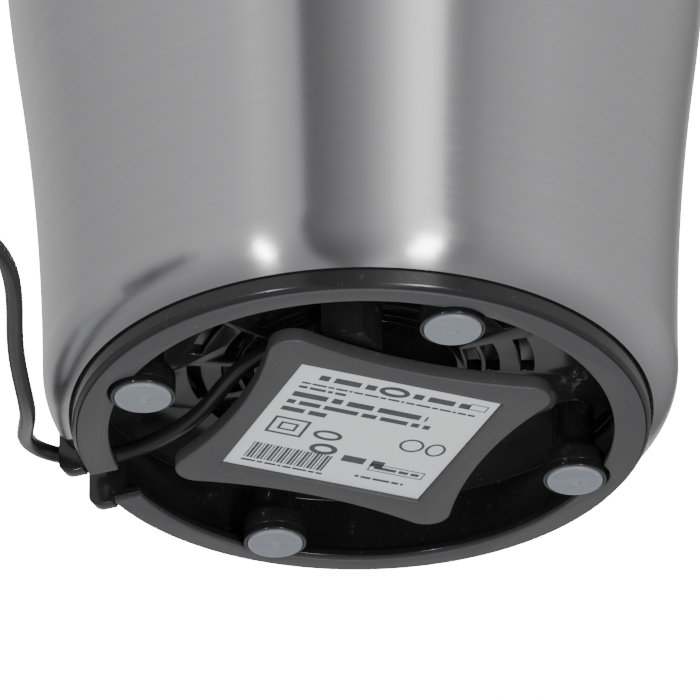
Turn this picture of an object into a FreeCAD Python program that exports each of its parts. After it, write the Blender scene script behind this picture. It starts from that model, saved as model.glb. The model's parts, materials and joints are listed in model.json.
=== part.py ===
import FreeCAD, Part
import math
import os

# Electric blade coffee grinder: a steel-cased motor body that stands on four silicone feet,
# with a cord-winding recess underneath and a clear lid over the grinding bowl on top.
# Frame: millimetres, +Z up, origin at the centre of the plane that the four feet stand on.
# Angles are in degrees from +X towards +Y.

V = FreeCAD.Vector
UP = V(0, 0, 1)
os.makedirs("parts", exist_ok=True)
doc = FreeCAD.newDocument("coffee_grinder")

# ------------------------------------------------------------------ driving sizes
SIZES = [
    # base, from the table up
    ("foot_proud", 1.0),        # how far the feet stand below the base ring
    ("ring_radius", 44.0),      # outside of the grey base ring
    ("ring_width_x", 4.85),     # width of the ring where its slightly oval opening is
    ("ring_width_y", 3.2),      # narrow and where it is wide
    ("ring_thick", 1.0),
    ("band_step", 0.8),         # the black band stands out from the ring by this
    ("recess_step", 1.4),       # the recess wall lies inside the ring's edge by this
    ("recess_depth", 12.0),
    ("floor_thick", 2.0),
    ("hub_radius", 15.0),       # spool that the cord is wound on
    ("hub_wall", 2.0),
    ("vent_start", 16.7),       # inner edge of the innermost ring of air slots
    ("vent_width", 2.0),
    ("foot_radius", 4.4),
    ("foot_inset", 7.9),        # middle of each foot from the ring's edge
    ("foot_angle", 22.7),
    ("foot_pad", 1.6),
    ("stem_radius", 2.3),
    ("stem_length", 3.6),
    ("seat_radius", 5.0),
    ("post_radius", 3.3),
    ("screw_radius", 1.4),
    ("screw_head", 2.3),
    ("screw_length", 12.0),
    ("fit_gap", 0.1),           # pieces that slip into each other
    # winding plate and label
    ("label_side", 33.1),
    ("label_thick", 0.2),
    ("label_depth", 0.9),
    ("label_gap", 0.2),
    ("plate_turn", 23.2),       # winding plate and label are turned by this angle
    ("plate_margin", 2.75),     # centre of each rounded corner beyond the label's side
    ("plate_round", 3.8),
    ("waist_margin", 4.05),     # hollow side beyond the label's side at its middle
    ("plate_thick", 2.6),
    # slot for the cord
    ("slot_angle", 158.5),
    ("slot_width", 9.4),
    ("slot_height", 8.5),
    ("cheek_wall", 2.2),
    ("cheek_out", 3.5),         # the cheeks stand out from the band
    # steel casing
    ("steel_wall", 0.8),
    ("lip_step", 0.5),          # the steel's lower edge lies outside the band
    ("lip_height", 4.3),
    ("toe_height", 12.0),       # where the lower curve meets the side
    ("waist_step", 4.6),        # narrowest radius of the side beyond the band
    ("waist_height", 6.0),
    ("flare_radius", 400.0),
    ("turn_height", 66.0),      # where the side changes from hollow to full
    ("belly_below", 21.0),      # widest level below the steel's top edge
    ("steel_top", 140.0),
    ("top_lip", 2.5),
    # inner housing and collar
    ("sleeve_step", 3.4),       # sleeve inside the narrowest radius of the side
    ("sleeve_wall", 2.4),
    ("deck_below", 22.0),       # underside of the deck below the steel's top edge
    ("deck_thick", 3.0),
    ("deck_step", 3.3),         # deck inside the radius of the steel's top edge
    ("deck_gap", 0.1),
    ("collar_tall", 20.0),
    ("collar_margin", 5.3),     # collar's inner wall inside the radius of the steel's top edge
    ("neck_rise", 8.0),
    ("neck_gap", 7.0),          # groove between neck and collar wall that the lid drops into
    ("neck_wall", 2.5),
    # bowl, lid and blade
    ("bowl_rise", 9.0),         # bowl floor above the deck
    ("bowl_gap", 0.6),          # bowl inside the neck's bore
    ("bowl_wall", 0.6),
    ("bowl_bend", 6.0),
    ("seal_radius", 8.0),
    ("lid_tall", 44.8),
    ("lid_wall", 2.2),
    ("lid_bend", 9.0),
    ("lid_taper", 6.1),
    ("blade_seat", 6.5),        # underside of the blade above the bowl's floor
    ("blade_reach", 34.0),
    ("blade_thick", 1.8),
    # motor, hung from the deck
    ("shaft_radius", 3.0),
    ("running_gap", 0.05),
    ("bearing_radius", 5.5),
    ("bearing_tall", 7.0),
    ("boss_wall", 3.0),
    ("hanger_tall", 14.0),
    ("damper_tall", 5.0),
    ("bracket_thick", 3.0),
    ("stack_tall", 24.0),       # laminated stack of stator and rotor
    ("stack_x", 62.0),
    ("stack_y", 50.0),
    ("coil_overhang", 5.0),
    ("rotor_radius", 15.0),
    ("air_gap", 0.5),
    ("commutator_radius", 11.0),
    ("commutator_tall", 13.0),
    ("bolt_x", 26.5),
    ("bolt_y", 20.5),
    ("bolt_radius", 1.8),
    ("fan_radius", 30.0),
    ("fan_tall", 7.0),
    # push button and switch
    ("button_angle", -21.5),
    ("button_rise", 7.0),       # middle of the button above the steel's top edge
    ("button_width", 20.0),
    ("button_tall", 8.0),
    ("button_proud", 0.9),      # face of the button beyond the radius of the steel's top edge
    ("button_travel", 1.5),
    ("button_gap", 0.2),
    ("flange_margin", 1.2),
    ("lever_drop", 9.0),        # pivot of the switch lever below the middle of the button
    ("pin_radius", 0.6),
    # mains lead
    ("cord_radius", 1.32),
    ("core_radius", 1.1),       # the lead inside the casing
    ("coil_radius", 14.3),      # middle of the wound turns
    ("coil_half", 5.2),         # half the width of the wound bundle
    ("coil_height", 8.2),
    ("plug_half", 6.85),        # half the thickness of the plug
    ("plug_width", 35.2),
    ("pin_spread", 9.2),
]

# what follows from them: levels above the table, radii, and shared fits
DERIVED = [
    ("rim", "foot_proud"),                        # the ring's underside
    ("floor_low", "rim + recess_depth"),          # the recess floor
    ("floor_top", "floor_low + floor_thick"),
    ("band", "ring_radius + band_step"),
    ("recess", "ring_radius - recess_step"),
    ("oval_x", "ring_radius - ring_width_x"),
    ("oval_y", "ring_radius - ring_width_y"),
    ("foot_circle", "ring_radius - foot_inset"),
    ("scoop", "seat_radius + 0.5"),               # what the ring and its ledge leave round a seat
    ("ledge_low", "rim + ring_thick"),
    ("ledge_top", "ledge_low + 1.2"),
    ("head_low", "foot_pad + stem_length + 0.4"),  # screw heads sit in the posts over the feet
    ("head_top", "head_low + 2"),
    ("cheek_reach", "band + cheek_out"),
    ("cheek_across", "slot_width + 2 * cheek_wall"),
    ("cheek_top", "floor_low - 1.3"),
    ("arch_top", "floor_low - 0.7"),
    ("plate_top", "rim + plate_thick"),
    ("waist", "band + waist_step"),
    ("sleeve", "waist - sleeve_step"),
    ("sleeve_low", "floor_top + fit_gap"),
    ("deck", "steel_top - deck_below"),
    ("deck_top", "deck + deck_thick"),
    ("bowl_floor", "deck_top + bowl_rise"),
    ("bowl_low", "bowl_floor - bowl_wall"),
    ("collar_top", "steel_top + collar_tall"),
    ("neck_top", "collar_top + neck_rise"),
    ("hanger_low", "deck - hanger_tall"),         # posts that carry the motor
    ("upper_top", "hanger_low - damper_tall"),    # plate of the upper bracket
    ("upper_low", "upper_top - bracket_thick"),
    ("stack_high", "upper_low - 10"),
    ("stack_low", "stack_high - stack_tall"),
    ("drum_high", "stack_low - coil_overhang"),   # commutator
    ("drum_low", "drum_high - commutator_tall"),
    ("lower_top", "drum_low - 6"),                # plate of the lower bracket
    ("lower_low", "lower_top - bracket_thick"),
    ("fan_top", "lower_low - 4"),
    ("fan_low", "fan_top - fan_tall"),
    ("bolt_hole", "bolt_radius + 0.1"),
    ("blade_low", "bowl_floor + blade_seat"),
    ("blade_top", "blade_low + blade_thick"),
    ("button_mid", "steel_top + button_rise"),
    ("pivot", "button_mid - lever_drop"),
]

sheet = doc.addObject("Spreadsheet::Sheet", "sizes")
for row, (alias, content) in enumerate(SIZES + DERIVED, 1):
    sheet.set(f"A{row}", alias)
    sheet.set(f"B{row}", f"={content}" if isinstance(content, str) else str(content))
    sheet.setAlias(f"B{row}", alias)
doc.recompute()


def size(alias):
    """One size, read back from the sheet."""
    return float(sheet.get(alias))


def formula(text):
    """A formula with the sheet's name put before each alias: '#ring_radius' is a cell."""
    return text.replace("#", "sizes.")


# ------------------------------------------------------------------ building blocks
def place(thing, at=(0, 0), turn=0.0):
    """Puts a primitive at a point of the plan, turned about the vertical."""
    thing.Placement = FreeCAD.Placement(V(at[0], at[1], 0), FreeCAD.Rotation(UP, turn))
    return thing


def rod(name, radius, low, high, at=(0, 0)):
    """Upright cylinder between two heights; radius and heights are formulas."""
    thing = place(doc.addObject("Part::Cylinder", name), at)
    thing.setExpression("Radius", formula(radius))
    thing.setExpression("Height", formula(f"({high}) - ({low})"))
    thing.setExpression("Placement.Base.z", formula(low))
    return thing


def cone(name, low_radius, high_radius, low, high, at=(0, 0)):
    """Upright cone between two heights."""
    thing = place(doc.addObject("Part::Cone", name), at)
    thing.setExpression("Radius1", formula(low_radius))
    thing.setExpression("Radius2", formula(high_radius))
    thing.setExpression("Height", formula(f"({high}) - ({low})"))
    thing.setExpression("Placement.Base.z", formula(low))
    return thing


def block(name, length, width, low, high, turn=0.0, reach=0.0, aside=0.0):
    """Box centred on a point that lies reach out and aside in a frame turned about the vertical."""
    thing = doc.addObject("Part::Box", name)
    thing.setExpression("Length", formula(length))
    thing.setExpression("Width", formula(width))
    thing.setExpression("Height", formula(f"({high}) - ({low})"))
    doc.recompute()
    corner = V(reach - thing.Length.Value / 2, aside - thing.Width.Value / 2, 0)
    spin = FreeCAD.Rotation(UP, turn)
    thing.Placement = FreeCAD.Placement(spin.multVec(corner), spin)
    thing.setExpression("Placement.Base.z", formula(low))
    return thing


def join(name, pieces):
    """Union of several pieces."""
    thing = doc.addObject("Part::MultiFuse", name)
    thing.Shapes = pieces
    thing.Refine = True
    return thing


def cut(name, base, tools):
    """Base less every tool."""
    thing = doc.addObject("Part::Cut", name)
    thing.Base = base
    thing.Tool = tools[0] if len(tools) == 1 else join(name + "_tools", tools)
    thing.Refine = True
    return thing


def ring(name, outer, inner, low, high, at=(0, 0)):
    """Upright tube."""
    core = rod(name + "_bore", inner, f"({low}) - 1", f"({high}) + 1", at)
    return cut(name, rod(name + "_solid", outer, low, high, at), [core])


def group(name, pieces):
    """Separate identical solids kept together as one node."""
    thing = doc.addObject("Part::Compound", name)
    thing.Links = pieces
    return thing


def polar(radius, angle):
    """Point of the plan at a radius and an angle."""
    return (radius * math.cos(math.radians(angle)), radius * math.sin(math.radians(angle)))


def quarter_points(radius, angle):
    """Four points a quarter turn apart."""
    return [polar(radius, angle + 90 * count) for count in range(4)]


def sketch_on(body, plane, edges, rise=None):
    """Sketch on one of the body's origin planes, made of edges that follow each other."""
    sketch = body.newObject("Sketcher::SketchObject", body.Name + "_outline")
    origin = [item for item in body.Origin.OriginFeatures if item.Role == plane][0]
    sketch.AttachmentSupport = [(origin, "")]
    sketch.MapMode = "FlatFace"
    if rise is not None:
        sketch.setExpression("AttachmentOffset.Base.z", formula(rise))
    for edge in edges:
        sketch.addGeometry(edge, False)
    return sketch


def line(start, end):
    return Part.LineSegment(V(start[0], start[1], 0), V(end[0], end[1], 0))


def bow(start, middle, end):
    return Part.Arc(V(start[0], start[1], 0), V(middle[0], middle[1], 0), V(end[0], end[1], 0))


def closed(points):
    """Straight edges round a closed list of points."""
    return [line(points[i], points[(i + 1) % len(points)]) for i in range(len(points))]


def turned(name, edges):
    """Body revolved about the Z axis from edges given as (radius, height)."""
    body = doc.addObject("PartDesign::Body", name)
    sketch = sketch_on(body, "XZ_Plane", edges)
    doc.recompute()
    spun = body.newObject("PartDesign::Revolution", name + "_spun")
    spun.Profile = sketch
    spun.ReferenceAxis = (sketch, ["V_Axis"])
    spun.Angle = 360
    body.Tip = spun
    return body


def raised(name, edges, low, height):
    """Body padded upwards from edges given in plan."""
    body = doc.addObject("PartDesign::Body", name)
    sketch = sketch_on(body, "XY_Plane", edges, low)
    doc.recompute()
    pad = body.newObject("PartDesign::Pad", name + "_pad")
    pad.Profile = sketch
    pad.setExpression("Length", formula(height))
    body.Tip = pad
    return body


def rounded_rectangle(width, height, radius, centre=(0, 0)):
    """Edges of a rectangle with rounded corners."""
    x, y = centre
    half_w, half_h = width / 2 - radius, height / 2 - radius
    diagonal = radius * math.sqrt(0.5)
    edges = []
    for sx, sy in ((1, 1), (-1, 1), (-1, -1), (1, -1)):
        cx, cy = x + sx * half_w, y + sy * half_h
        first, second = (cx + sx * radius, cy), (cx, cy + sy * radius)
        if sx * sy < 0:
            first, second = second, first
        edges.append(bow(first, (cx + sx * diagonal, cy + sy * diagonal), second))
    ends = [(edge.StartPoint, edge.EndPoint) for edge in edges]
    straights = []
    for count in range(4):
        straights.append(line(ends[count][1], ends[(count + 1) % 4][0]))
    return edges + straights


def scaled_about(centre, point, grow):
    """The point moved away from a circle's centre by grow."""
    away = V(point[0] - centre[0], point[1] - centre[1], 0)
    factor = (away.Length + grow) / away.Length
    return (centre[0] + away.x * factor, centre[1] + away.y * factor)


def arc_about(centre, start, end, grow=0.0):
    """Arc shorter than half a turn about a centre, its radius larger by grow."""
    radius = math.dist(centre, start)
    middle = V(start[0] + end[0] - 2 * centre[0], start[1] + end[1] - 2 * centre[1], 0)
    middle.normalize()
    halfway = (centre[0] + middle.x * radius, centre[1] + middle.y * radius)
    return bow(*[scaled_about(centre, point, grow) for point in (start, halfway, end)])


nodes = {}


def node(name, thing):
    """Registers a finished sub-part under the name that its file gets."""
    thing.Label = name
    nodes[name] = thing
    return thing


feet_at = quarter_points(size("foot_circle"), size("foot_angle"))


# ------------------------------------------------------------------ base
def oval_prism(name, spare, low, high):
    """Upright prism as wide as the ring's opening plus a margin."""
    half_x, half_y = size("oval_x") + spare, size("oval_y") + spare
    edge = Part.Ellipse(V(0, half_y, 0), V(half_x, 0, 0), V(0, 0, 0))
    return raised(name, [edge], low, f"({high}) - ({low})")


def slot_box(name, low, high):
    """The straight way that the cord takes through the edge of the base."""
    start, end = size("oval_x") - 3, size("cheek_reach") + 3
    return block(name, f"{end - start}", "#slot_width", low, high, size("slot_angle"),
                 (start + end) / 2)


def base_ring():
    disc = rod("ring_disc", "#ring_radius", "#rim", "#ledge_low")
    tools = [oval_prism("ring_opening", 0.0, "#rim - 1", "#ledge_low + 1")]
    for count, at in enumerate(feet_at):
        tools.append(rod(f"ring_scoop_{count}", "#scoop", "#rim - 1", "#ledge_low + 1", at))
    tools.append(slot_box("ring_slot", "#rim - 1", "#ledge_low + 1"))
    node("base_ring", cut("base_ring_cut", disc, tools))


VENT_STARTS = (0.0, 2.9, 8.3)     # inner edges of the rings of slots, beyond the innermost one
VENT_COUNT = 12
VENT_TURN = -23.0                 # angle of the first radial bar
VENT_BAR = 4.0                    # half the angle that a bar takes


def vent_tool(count, inner, outer):
    """One curved air slot through the recess floor."""
    step = 360 / VENT_COUNT
    start = VENT_TURN + step * count + VENT_BAR
    end = start + step - 2 * VENT_BAR
    middle = (start + end) / 2
    edges = [bow(polar(outer, start), polar(outer, middle), polar(outer, end)),
             line(polar(outer, end), polar(inner, end)),
             bow(polar(inner, end), polar(inner, middle), polar(inner, start)),
             line(polar(inner, start), polar(outer, start))]
    return raised(f"vent_{round(inner)}_{count}", edges, "#floor_low - 1", "#floor_thick + 2")


def cheek_block():
    """Radial block round the cord slot, its lower outer edge rounded."""
    inner, outer = size("ring_radius") + size("fit_gap"), size("cheek_reach")
    low, high = size("rim") + 0.3, size("cheek_top")
    bend = 2.0
    tip = bend * (1 - math.sqrt(0.5))
    edges = [line((inner, low), (outer - bend, low)),
             bow((outer - bend, low), (outer - tip, low + tip), (outer, low + bend)),
             line((outer, low + bend), (outer, high)),
             line((outer, high), (inner, high)),
             line((inner, high), (inner, low))]
    body = doc.addObject("PartDesign::Body", "cheeks")
    sketch = sketch_on(body, "XZ_Plane", edges)
    doc.recompute()
    pad = body.newObject("PartDesign::Pad", "cheeks_pad")
    pad.Profile = sketch
    pad.SideType = "Symmetric"
    pad.setExpression("Length", formula("#cheek_across"))
    body.Tip = pad
    body.Placement = FreeCAD.Placement(V(0, 0, 0), FreeCAD.Rotation(UP, size("slot_angle")))
    return body


def pan_shell():
    """The turned part of the pan: spool, recess floor, recess wall, black band and shoulder."""
    rim, low, top = size("rim"), size("floor_low"), size("floor_top")
    ledge, hub_foot = size("ledge_low"), size("plate_top")
    band, recess, hub = size("band"), size("recess"), size("hub_radius")
    inside = size("ring_radius") + size("fit_gap")
    hollow, crown = hub - size("hub_wall"), hub_foot + size("hub_wall")
    shoulder = size("waist") - size("steel_wall") - 0.5
    step = low - 0.5
    return turned("pan_shell", closed([
        (0, hub_foot), (hub, hub_foot), (hub, low), (recess, low), (recess, ledge), (inside, ledge),
        (inside, rim + 0.3), (band, rim + 1.0), (band, step), (shoulder, step), (shoulder, top),
        (hollow, top), (hollow, crown), (0, crown)]))


def base_pan():
    seat_low, seat_high, seat_taper = "#foot_pad", "#rim + 3.2", "#rim + 5.5"
    ledge = cut("pan_ledge", rod("pan_ledge_disc", "#recess + 0.5", "#ledge_low", "#ledge_top"),
                [oval_prism("pan_ledge_opening", 0.2, "#rim", "#ledge_top + 1")]
                + [rod(f"ledge_scoop_{count}", "#scoop", "#rim", "#ledge_top + 1", at)
                   for count, at in enumerate(feet_at)])
    solids = [pan_shell(), ledge, cheek_block()]
    tools = [slot_box("pan_slot", "#rim - 1", "#rim + #slot_height"),
             rod("winder_screw_hole", "#screw_radius + #fit_gap", "#rim", "#floor_low"),
             rod("lead_hole", "#core_radius + 1.3", "#floor_low - 1", "#floor_top + 1",
                 INNER_ROUTE[0][:2])]
    for count, at in enumerate(feet_at):
        solids.append(rod(f"seat_{count}", "#seat_radius", seat_low, seat_high, at))
        solids.append(cone(f"seat_top_{count}", "#seat_radius", "#post_radius", seat_high,
                           seat_taper, at))
        solids.append(rod(f"post_{count}", "#post_radius", seat_high, "#floor_low + 1", at))
        tools.append(rod(f"stem_hole_{count}", "#stem_radius + #fit_gap", "#rim - 1",
                         "#head_top", at))
        tools.append(rod(f"screw_hole_{count}", "#screw_radius + #fit_gap", "#rim",
                         "#floor_top + 1", at))
    for step in VENT_STARTS:
        inner = size("vent_start") + step
        for count in range(VENT_COUNT):
            tools.append(vent_tool(count, inner, inner + size("vent_width")))
    node("base_pan", cut("base_pan_cut", join("pan_whole", solids), tools))


def feet():
    pads = []
    for count, at in enumerate(feet_at):
        pad = rod(f"foot_pad_{count}", "#foot_radius", "0", "#foot_pad", at)
        stem = rod(f"foot_stem_{count}", "#stem_radius", "#foot_pad - 0.2",
                   "#foot_pad + #stem_length", at)
        pads.append(join(f"foot_{count}", [pad, stem]))
    node("feet", group("feet_group", pads))


def screw(name, head, head_low, head_high, shank, shank_high, at=(0, 0)):
    """Pan-head screw that points upwards."""
    cap = rod(name + "_head", head, head_low, head_high, at)
    thread = rod(name + "_shank", shank, f"({head_high}) - 0.2", shank_high, at)
    return join(name, [cap, thread])


def base_screws():
    """Four screws in the posts, each hidden by the foot below it."""
    screws = [screw(f"base_screw_{count}", "#screw_head - #fit_gap", "#head_low", "#head_top",
                    "#screw_radius", "#head_top + #screw_length", at)
              for count, at in enumerate(feet_at)]
    node("base_screws", group("base_screw_group", screws))


def winder_plate():
    """Square plate with hollow sides that keeps the wound cord in the recess."""
    half, bend = size("label_side") / 2, size("plate_round")
    corner, waist = half + size("plate_margin"), half + size("waist_margin")
    far = ((waist - bend) ** 2 - 2 * corner ** 2) / (2 * (waist - bend - corner))
    reach = math.hypot(far - corner, corner)
    touch = (corner + bend * (far - corner) / reach, corner - bend * corner / reach)
    tip = corner + bend * math.sqrt(0.5)

    def spun(point, count):
        turn = FreeCAD.Rotation(UP, 90 * count + size("plate_turn")).multVec(V(*point, 0))
        return (turn.x, turn.y)

    edges = []
    for count in range(4):
        edges.append(bow(spun(touch, count), spun((tip, tip), count),
                         spun((touch[1], touch[0]), count)))
        edges.append(bow(spun((touch[0], -touch[1]), count), spun((waist, 0), count),
                         spun(touch, count)))
    plate = raised("winder", edges, "#rim", "#plate_thick")
    side, sheet_low = "#label_side + 2 * #label_gap", "#rim + #label_depth"
    rebate = block("label_rebate", side, side, "#rim - 1", sheet_low, size("plate_turn"))
    hole = rod("winder_hole", "#screw_radius + 0.2", "#rim", "#plate_top + 1")
    sink = rod("winder_sink", "#screw_head + 0.7", "#rim", f"{sheet_low} + 1")
    node("winder_plate", cut("winder_plate_cut", plate, [rebate, hole, sink]))
    node("rating_label", block("label_sheet", "#label_side", "#label_side",
                               f"{sheet_low} - #label_thick", sheet_low, size("plate_turn")))
    node("winder_screw", screw("winder_screw_whole", "#screw_head + 0.5", f"{sheet_low} + 0.05",
                               f"{sheet_low} + 0.95", "#screw_radius", "#floor_low - 3"))


# ------------------------------------------------------------------ steel casing
def side_profile():
    """Key points and centres of the casing's outside, as (radius, height)."""
    waist, waist_at = size("waist"), size("waist_height")
    flare, turn_at = size("flare_radius"), size("turn_height")
    flare_centre = (waist + flare, waist_at)

    def on_flare(height):
        return (flare_centre[0] - math.sqrt(flare ** 2 - (height - waist_at) ** 2), height)

    toe, turn = on_flare(size("toe_height")), on_flare(turn_at)
    belly_at = size("steel_top") - size("belly_below")
    belly_radius = (belly_at - turn_at) * flare / (turn_at - waist_at)
    away = ((turn[0] - flare_centre[0]) / flare, (turn[1] - waist_at) / flare)
    belly_centre = (turn[0] + away[0] * belly_radius, turn[1] + away[1] * belly_radius)
    top_rise = size("steel_top") - belly_centre[1]
    top = (belly_centre[0] + math.sqrt(belly_radius ** 2 - top_rise ** 2), size("steel_top"))
    lip = (size("band") + size("lip_step"), size("lip_height"))
    inward = ((toe[0] - flare_centre[0]) / flare, (toe[1] - waist_at) / flare)
    gap = (lip[0] - toe[0], lip[1] - toe[1])
    toe_radius = (gap[0] ** 2 + gap[1] ** 2) / (2 * (gap[0] * inward[0] + gap[1] * inward[1]))
    toe_centre = (toe[0] + inward[0] * toe_radius, toe[1] + inward[1] * toe_radius)
    return lip, toe, turn, top, toe_centre, flare_centre, belly_centre


def housing_shell():
    lip, toe, turn, top, toe_centre, flare_centre, belly_centre = side_profile()
    wall = size("steel_wall")
    in_lip = scaled_about(toe_centre, lip, -wall)
    in_top = scaled_about(belly_centre, top, -wall)
    fold = (top[0] - size("top_lip"), top[1])
    under = (fold[0], top[1] - wall)
    rise = math.sqrt(math.dist(belly_centre, in_top) ** 2 - (under[1] - belly_centre[1]) ** 2)
    in_corner = (belly_centre[0] + rise, under[1])
    edges = [arc_about(toe_centre, lip, toe),
             arc_about(flare_centre, toe, turn),
             arc_about(belly_centre, turn, top),
             line(top, fold), line(fold, under), line(under, in_corner),
             arc_about(belly_centre, in_corner, scaled_about(belly_centre, turn, -wall)),
             arc_about(flare_centre, scaled_about(flare_centre, turn, wall),
                       scaled_about(flare_centre, toe, wall)),
             arc_about(toe_centre, scaled_about(toe_centre, toe, -wall), in_lip),
             line(in_lip, lip)]
    shell = turned("casing", edges)
    arch = doc.addObject("PartDesign::Body", "arch")
    sketch = sketch_on(arch, "YZ_Plane", rounded_rectangle(size("cheek_across") + 0.4,
                                                           2 * size("arch_top"), 1.2))
    doc.recompute()
    pad = arch.newObject("PartDesign::Pad", "arch_pad")
    pad.Profile = sketch
    pad.setExpression("Length", formula("#waist + 10"))
    arch.Tip = pad
    arch.Placement = FreeCAD.Placement(V(0, 0, 0), FreeCAD.Rotation(UP, size("slot_angle")))
    node("housing_shell", cut("housing_shell_cut", shell, [arch]))


# ------------------------------------------------------------------ inner housing and collar
def bolt_points():
    return [(sx * size("bolt_x"), sy * size("bolt_y")) for sx in (1, -1) for sy in (1, -1)]


def inner_housing():
    """Plastic sleeve with a deck on top: posts below the deck carry the motor."""
    top_radius = side_profile()[3][0]
    throat = "#seal_radius + 3"
    boss_top = "#head_top + #screw_length + 1"
    posts, tools = [], [rod("throat_bore", "#seal_radius", "#deck - 3", "#bowl_floor + 1")]
    for count, at in enumerate(bolt_points()):
        posts.append(rod(f"hanger_{count}", "5", "#hanger_low", "#deck + 1", at))
        tools.append(rod(f"hanger_hole_{count}", "#bolt_radius + 0.05", "#hanger_low - 1",
                         "#deck - 1", at))
    for count, at in enumerate(feet_at):
        web_out = size("sleeve") - size("sleeve_wall") / 2
        web = web_out - size("foot_circle")
        posts.append(rod(f"base_boss_{count}", "4", "#sleeve_low", boss_top, at))
        posts.append(block(f"base_web_{count}", f"{web}", "3", "#sleeve_low", boss_top,
                           size("foot_angle") + 90 * count, web_out - web / 2))
        tools.append(rod(f"base_boss_hole_{count}", "#screw_radius + 0.05", "#floor_top",
                         "#head_top + #screw_length + 0.2", at))
    solids = [ring("sleeve_tube", "#sleeve", "#sleeve - #sleeve_wall", "#sleeve_low", "#deck + 1"),
              rod("deck_disc", f"{top_radius} - #deck_step", "#deck", "#deck_top"),
              ring("bowl_rib", "32", "30", "#deck_top - 0.5", "#bowl_low"),
              rod("throat", throat, "#deck - 2", "#bowl_low - 1")]
    node("inner_housing", cut("inner_housing_cut", join("inner_whole", solids + posts), tools))


def air_baffle():
    node("air_baffle", ring("air_baffle_ring", "#fan_radius", "#hub_radius - #hub_wall",
                            "#fan_low - 4", "#fan_low - 2.5"))


def collar():
    """Black ring on top of the steel: it carries the bowl, the lid and the push button."""
    top_radius = side_profile()[3][0]
    base, rim_top = size("steel_top") + 0.2, size("collar_top")
    seat, groove = rim_top - 4, rim_top - 7
    deck_top, neck_top = size("deck_top") + size("deck_gap"), size("neck_top")
    inner = top_radius - size("collar_margin")
    neck = inner - size("neck_gap")
    bore, step, skirt = neck - size("neck_wall"), inner - 0.8, inner + 2.0
    shoulder, bulge = (top_radius - 2.9, rim_top - 0.6), (top_radius - 0.7, (base + rim_top) / 2)
    rest = [(shoulder[0] - 0.6, rim_top), (step, rim_top), (step, seat), (neck, seat),
            (neck, neck_top), (bore, neck_top), (bore, deck_top), (neck, deck_top), (neck, groove),
            (inner, groove), (inner, deck_top), (skirt, deck_top), (skirt, base)]
    outline = [line((skirt, base), (top_radius, base)), bow((top_radius, base), bulge, shoulder)]
    for start, end in zip([shoulder] + rest, rest):
        outline.append(line(start, end))
    window = block("button_window", "20", "#button_width + 2 * #button_gap",
                   "#button_mid - #button_tall / 2 - #button_gap",
                   "#button_mid + #button_tall / 2 + #button_gap", size("button_angle"), inner + 9)
    node("collar", cut("collar_cut", turned("collar_spun", outline), [window]))


def neck_bore():
    """Inside radius of the collar's neck."""
    return (side_profile()[3][0] - size("collar_margin") - size("neck_gap") - size("neck_wall"))


def bowl():
    radius, wall, bend = neck_bore() - size("bowl_gap"), size("bowl_wall"), size("bowl_bend")
    floor, low, top = size("bowl_floor"), size("bowl_low"), size("neck_top") + size("fit_gap")
    hole = size("seal_radius") + 0.3
    flange = neck_bore() + size("neck_wall") + 0.9
    inner = radius - wall
    slant = math.sqrt(0.5)
    heel, tight = radius - bend, bend - wall
    outline = [line((hole, low), (heel, low)),
               bow((heel, low), (heel + bend * slant, low + bend - bend * slant),
                   (radius, low + bend)),
               line((radius, low + bend), (radius, top)),
               line((radius, top), (flange, top)), line((flange, top), (flange, top + wall)),
               line((flange, top + wall), (inner, top + wall)),
               line((inner, top + wall), (inner, low + bend)),
               bow((inner, low + bend), (heel + tight * slant, low + bend - tight * slant),
                   (heel, floor)),
               line((heel, floor), (hole, floor)), line((hole, floor), (hole, low))]
    node("grinding_bowl", turned("bowl_spun", outline))
    bore = "#shaft_radius + #running_gap"
    tube = ring("seal_tube", "#seal_radius - #fit_gap", bore, "#deck + 4", "#bowl_floor + 1")
    lip = ring("seal_lip", "#seal_radius + 1.5", bore, "#bowl_floor + 0.05", "#bowl_floor + 1.5")
    node("shaft_seal", join("shaft_seal_whole", [tube, lip]))


def lid():
    """Clear lid with a flat top; its skirt drops into the collar."""
    inner = side_profile()[3][0] - size("collar_margin")
    seat, wall, bend = size("collar_top") + 0.2, size("lid_wall"), size("lid_bend")
    top = seat + size("lid_tall")
    skirt, outer = inner - 1.2, inner + 1.6
    crown = outer - size("lid_taper")
    foot = seat - 3.6
    slant = math.sqrt(0.5)
    heart, tight = crown - bend, bend - wall
    outline = [line((0, top), (heart, top)),
               bow((heart, top), (heart + bend * slant, top - bend + bend * slant),
                   (crown, top - bend))]
    rest = [(crown, top - bend), (outer, seat), (skirt, seat), (skirt, foot), (skirt - wall, foot),
            (skirt - wall, seat + 3), (crown - wall, top - bend)]
    for start, end in zip(rest, rest[1:]):
        outline.append(line(start, end))
    outline += [bow((crown - wall, top - bend),
                    (heart + tight * slant, top - bend + tight * slant), (heart, top - wall)),
                line((heart, top - wall), (0, top - wall)), line((0, top - wall), (0, top))]
    node("lid", turned("lid_spun", outline))


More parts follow.
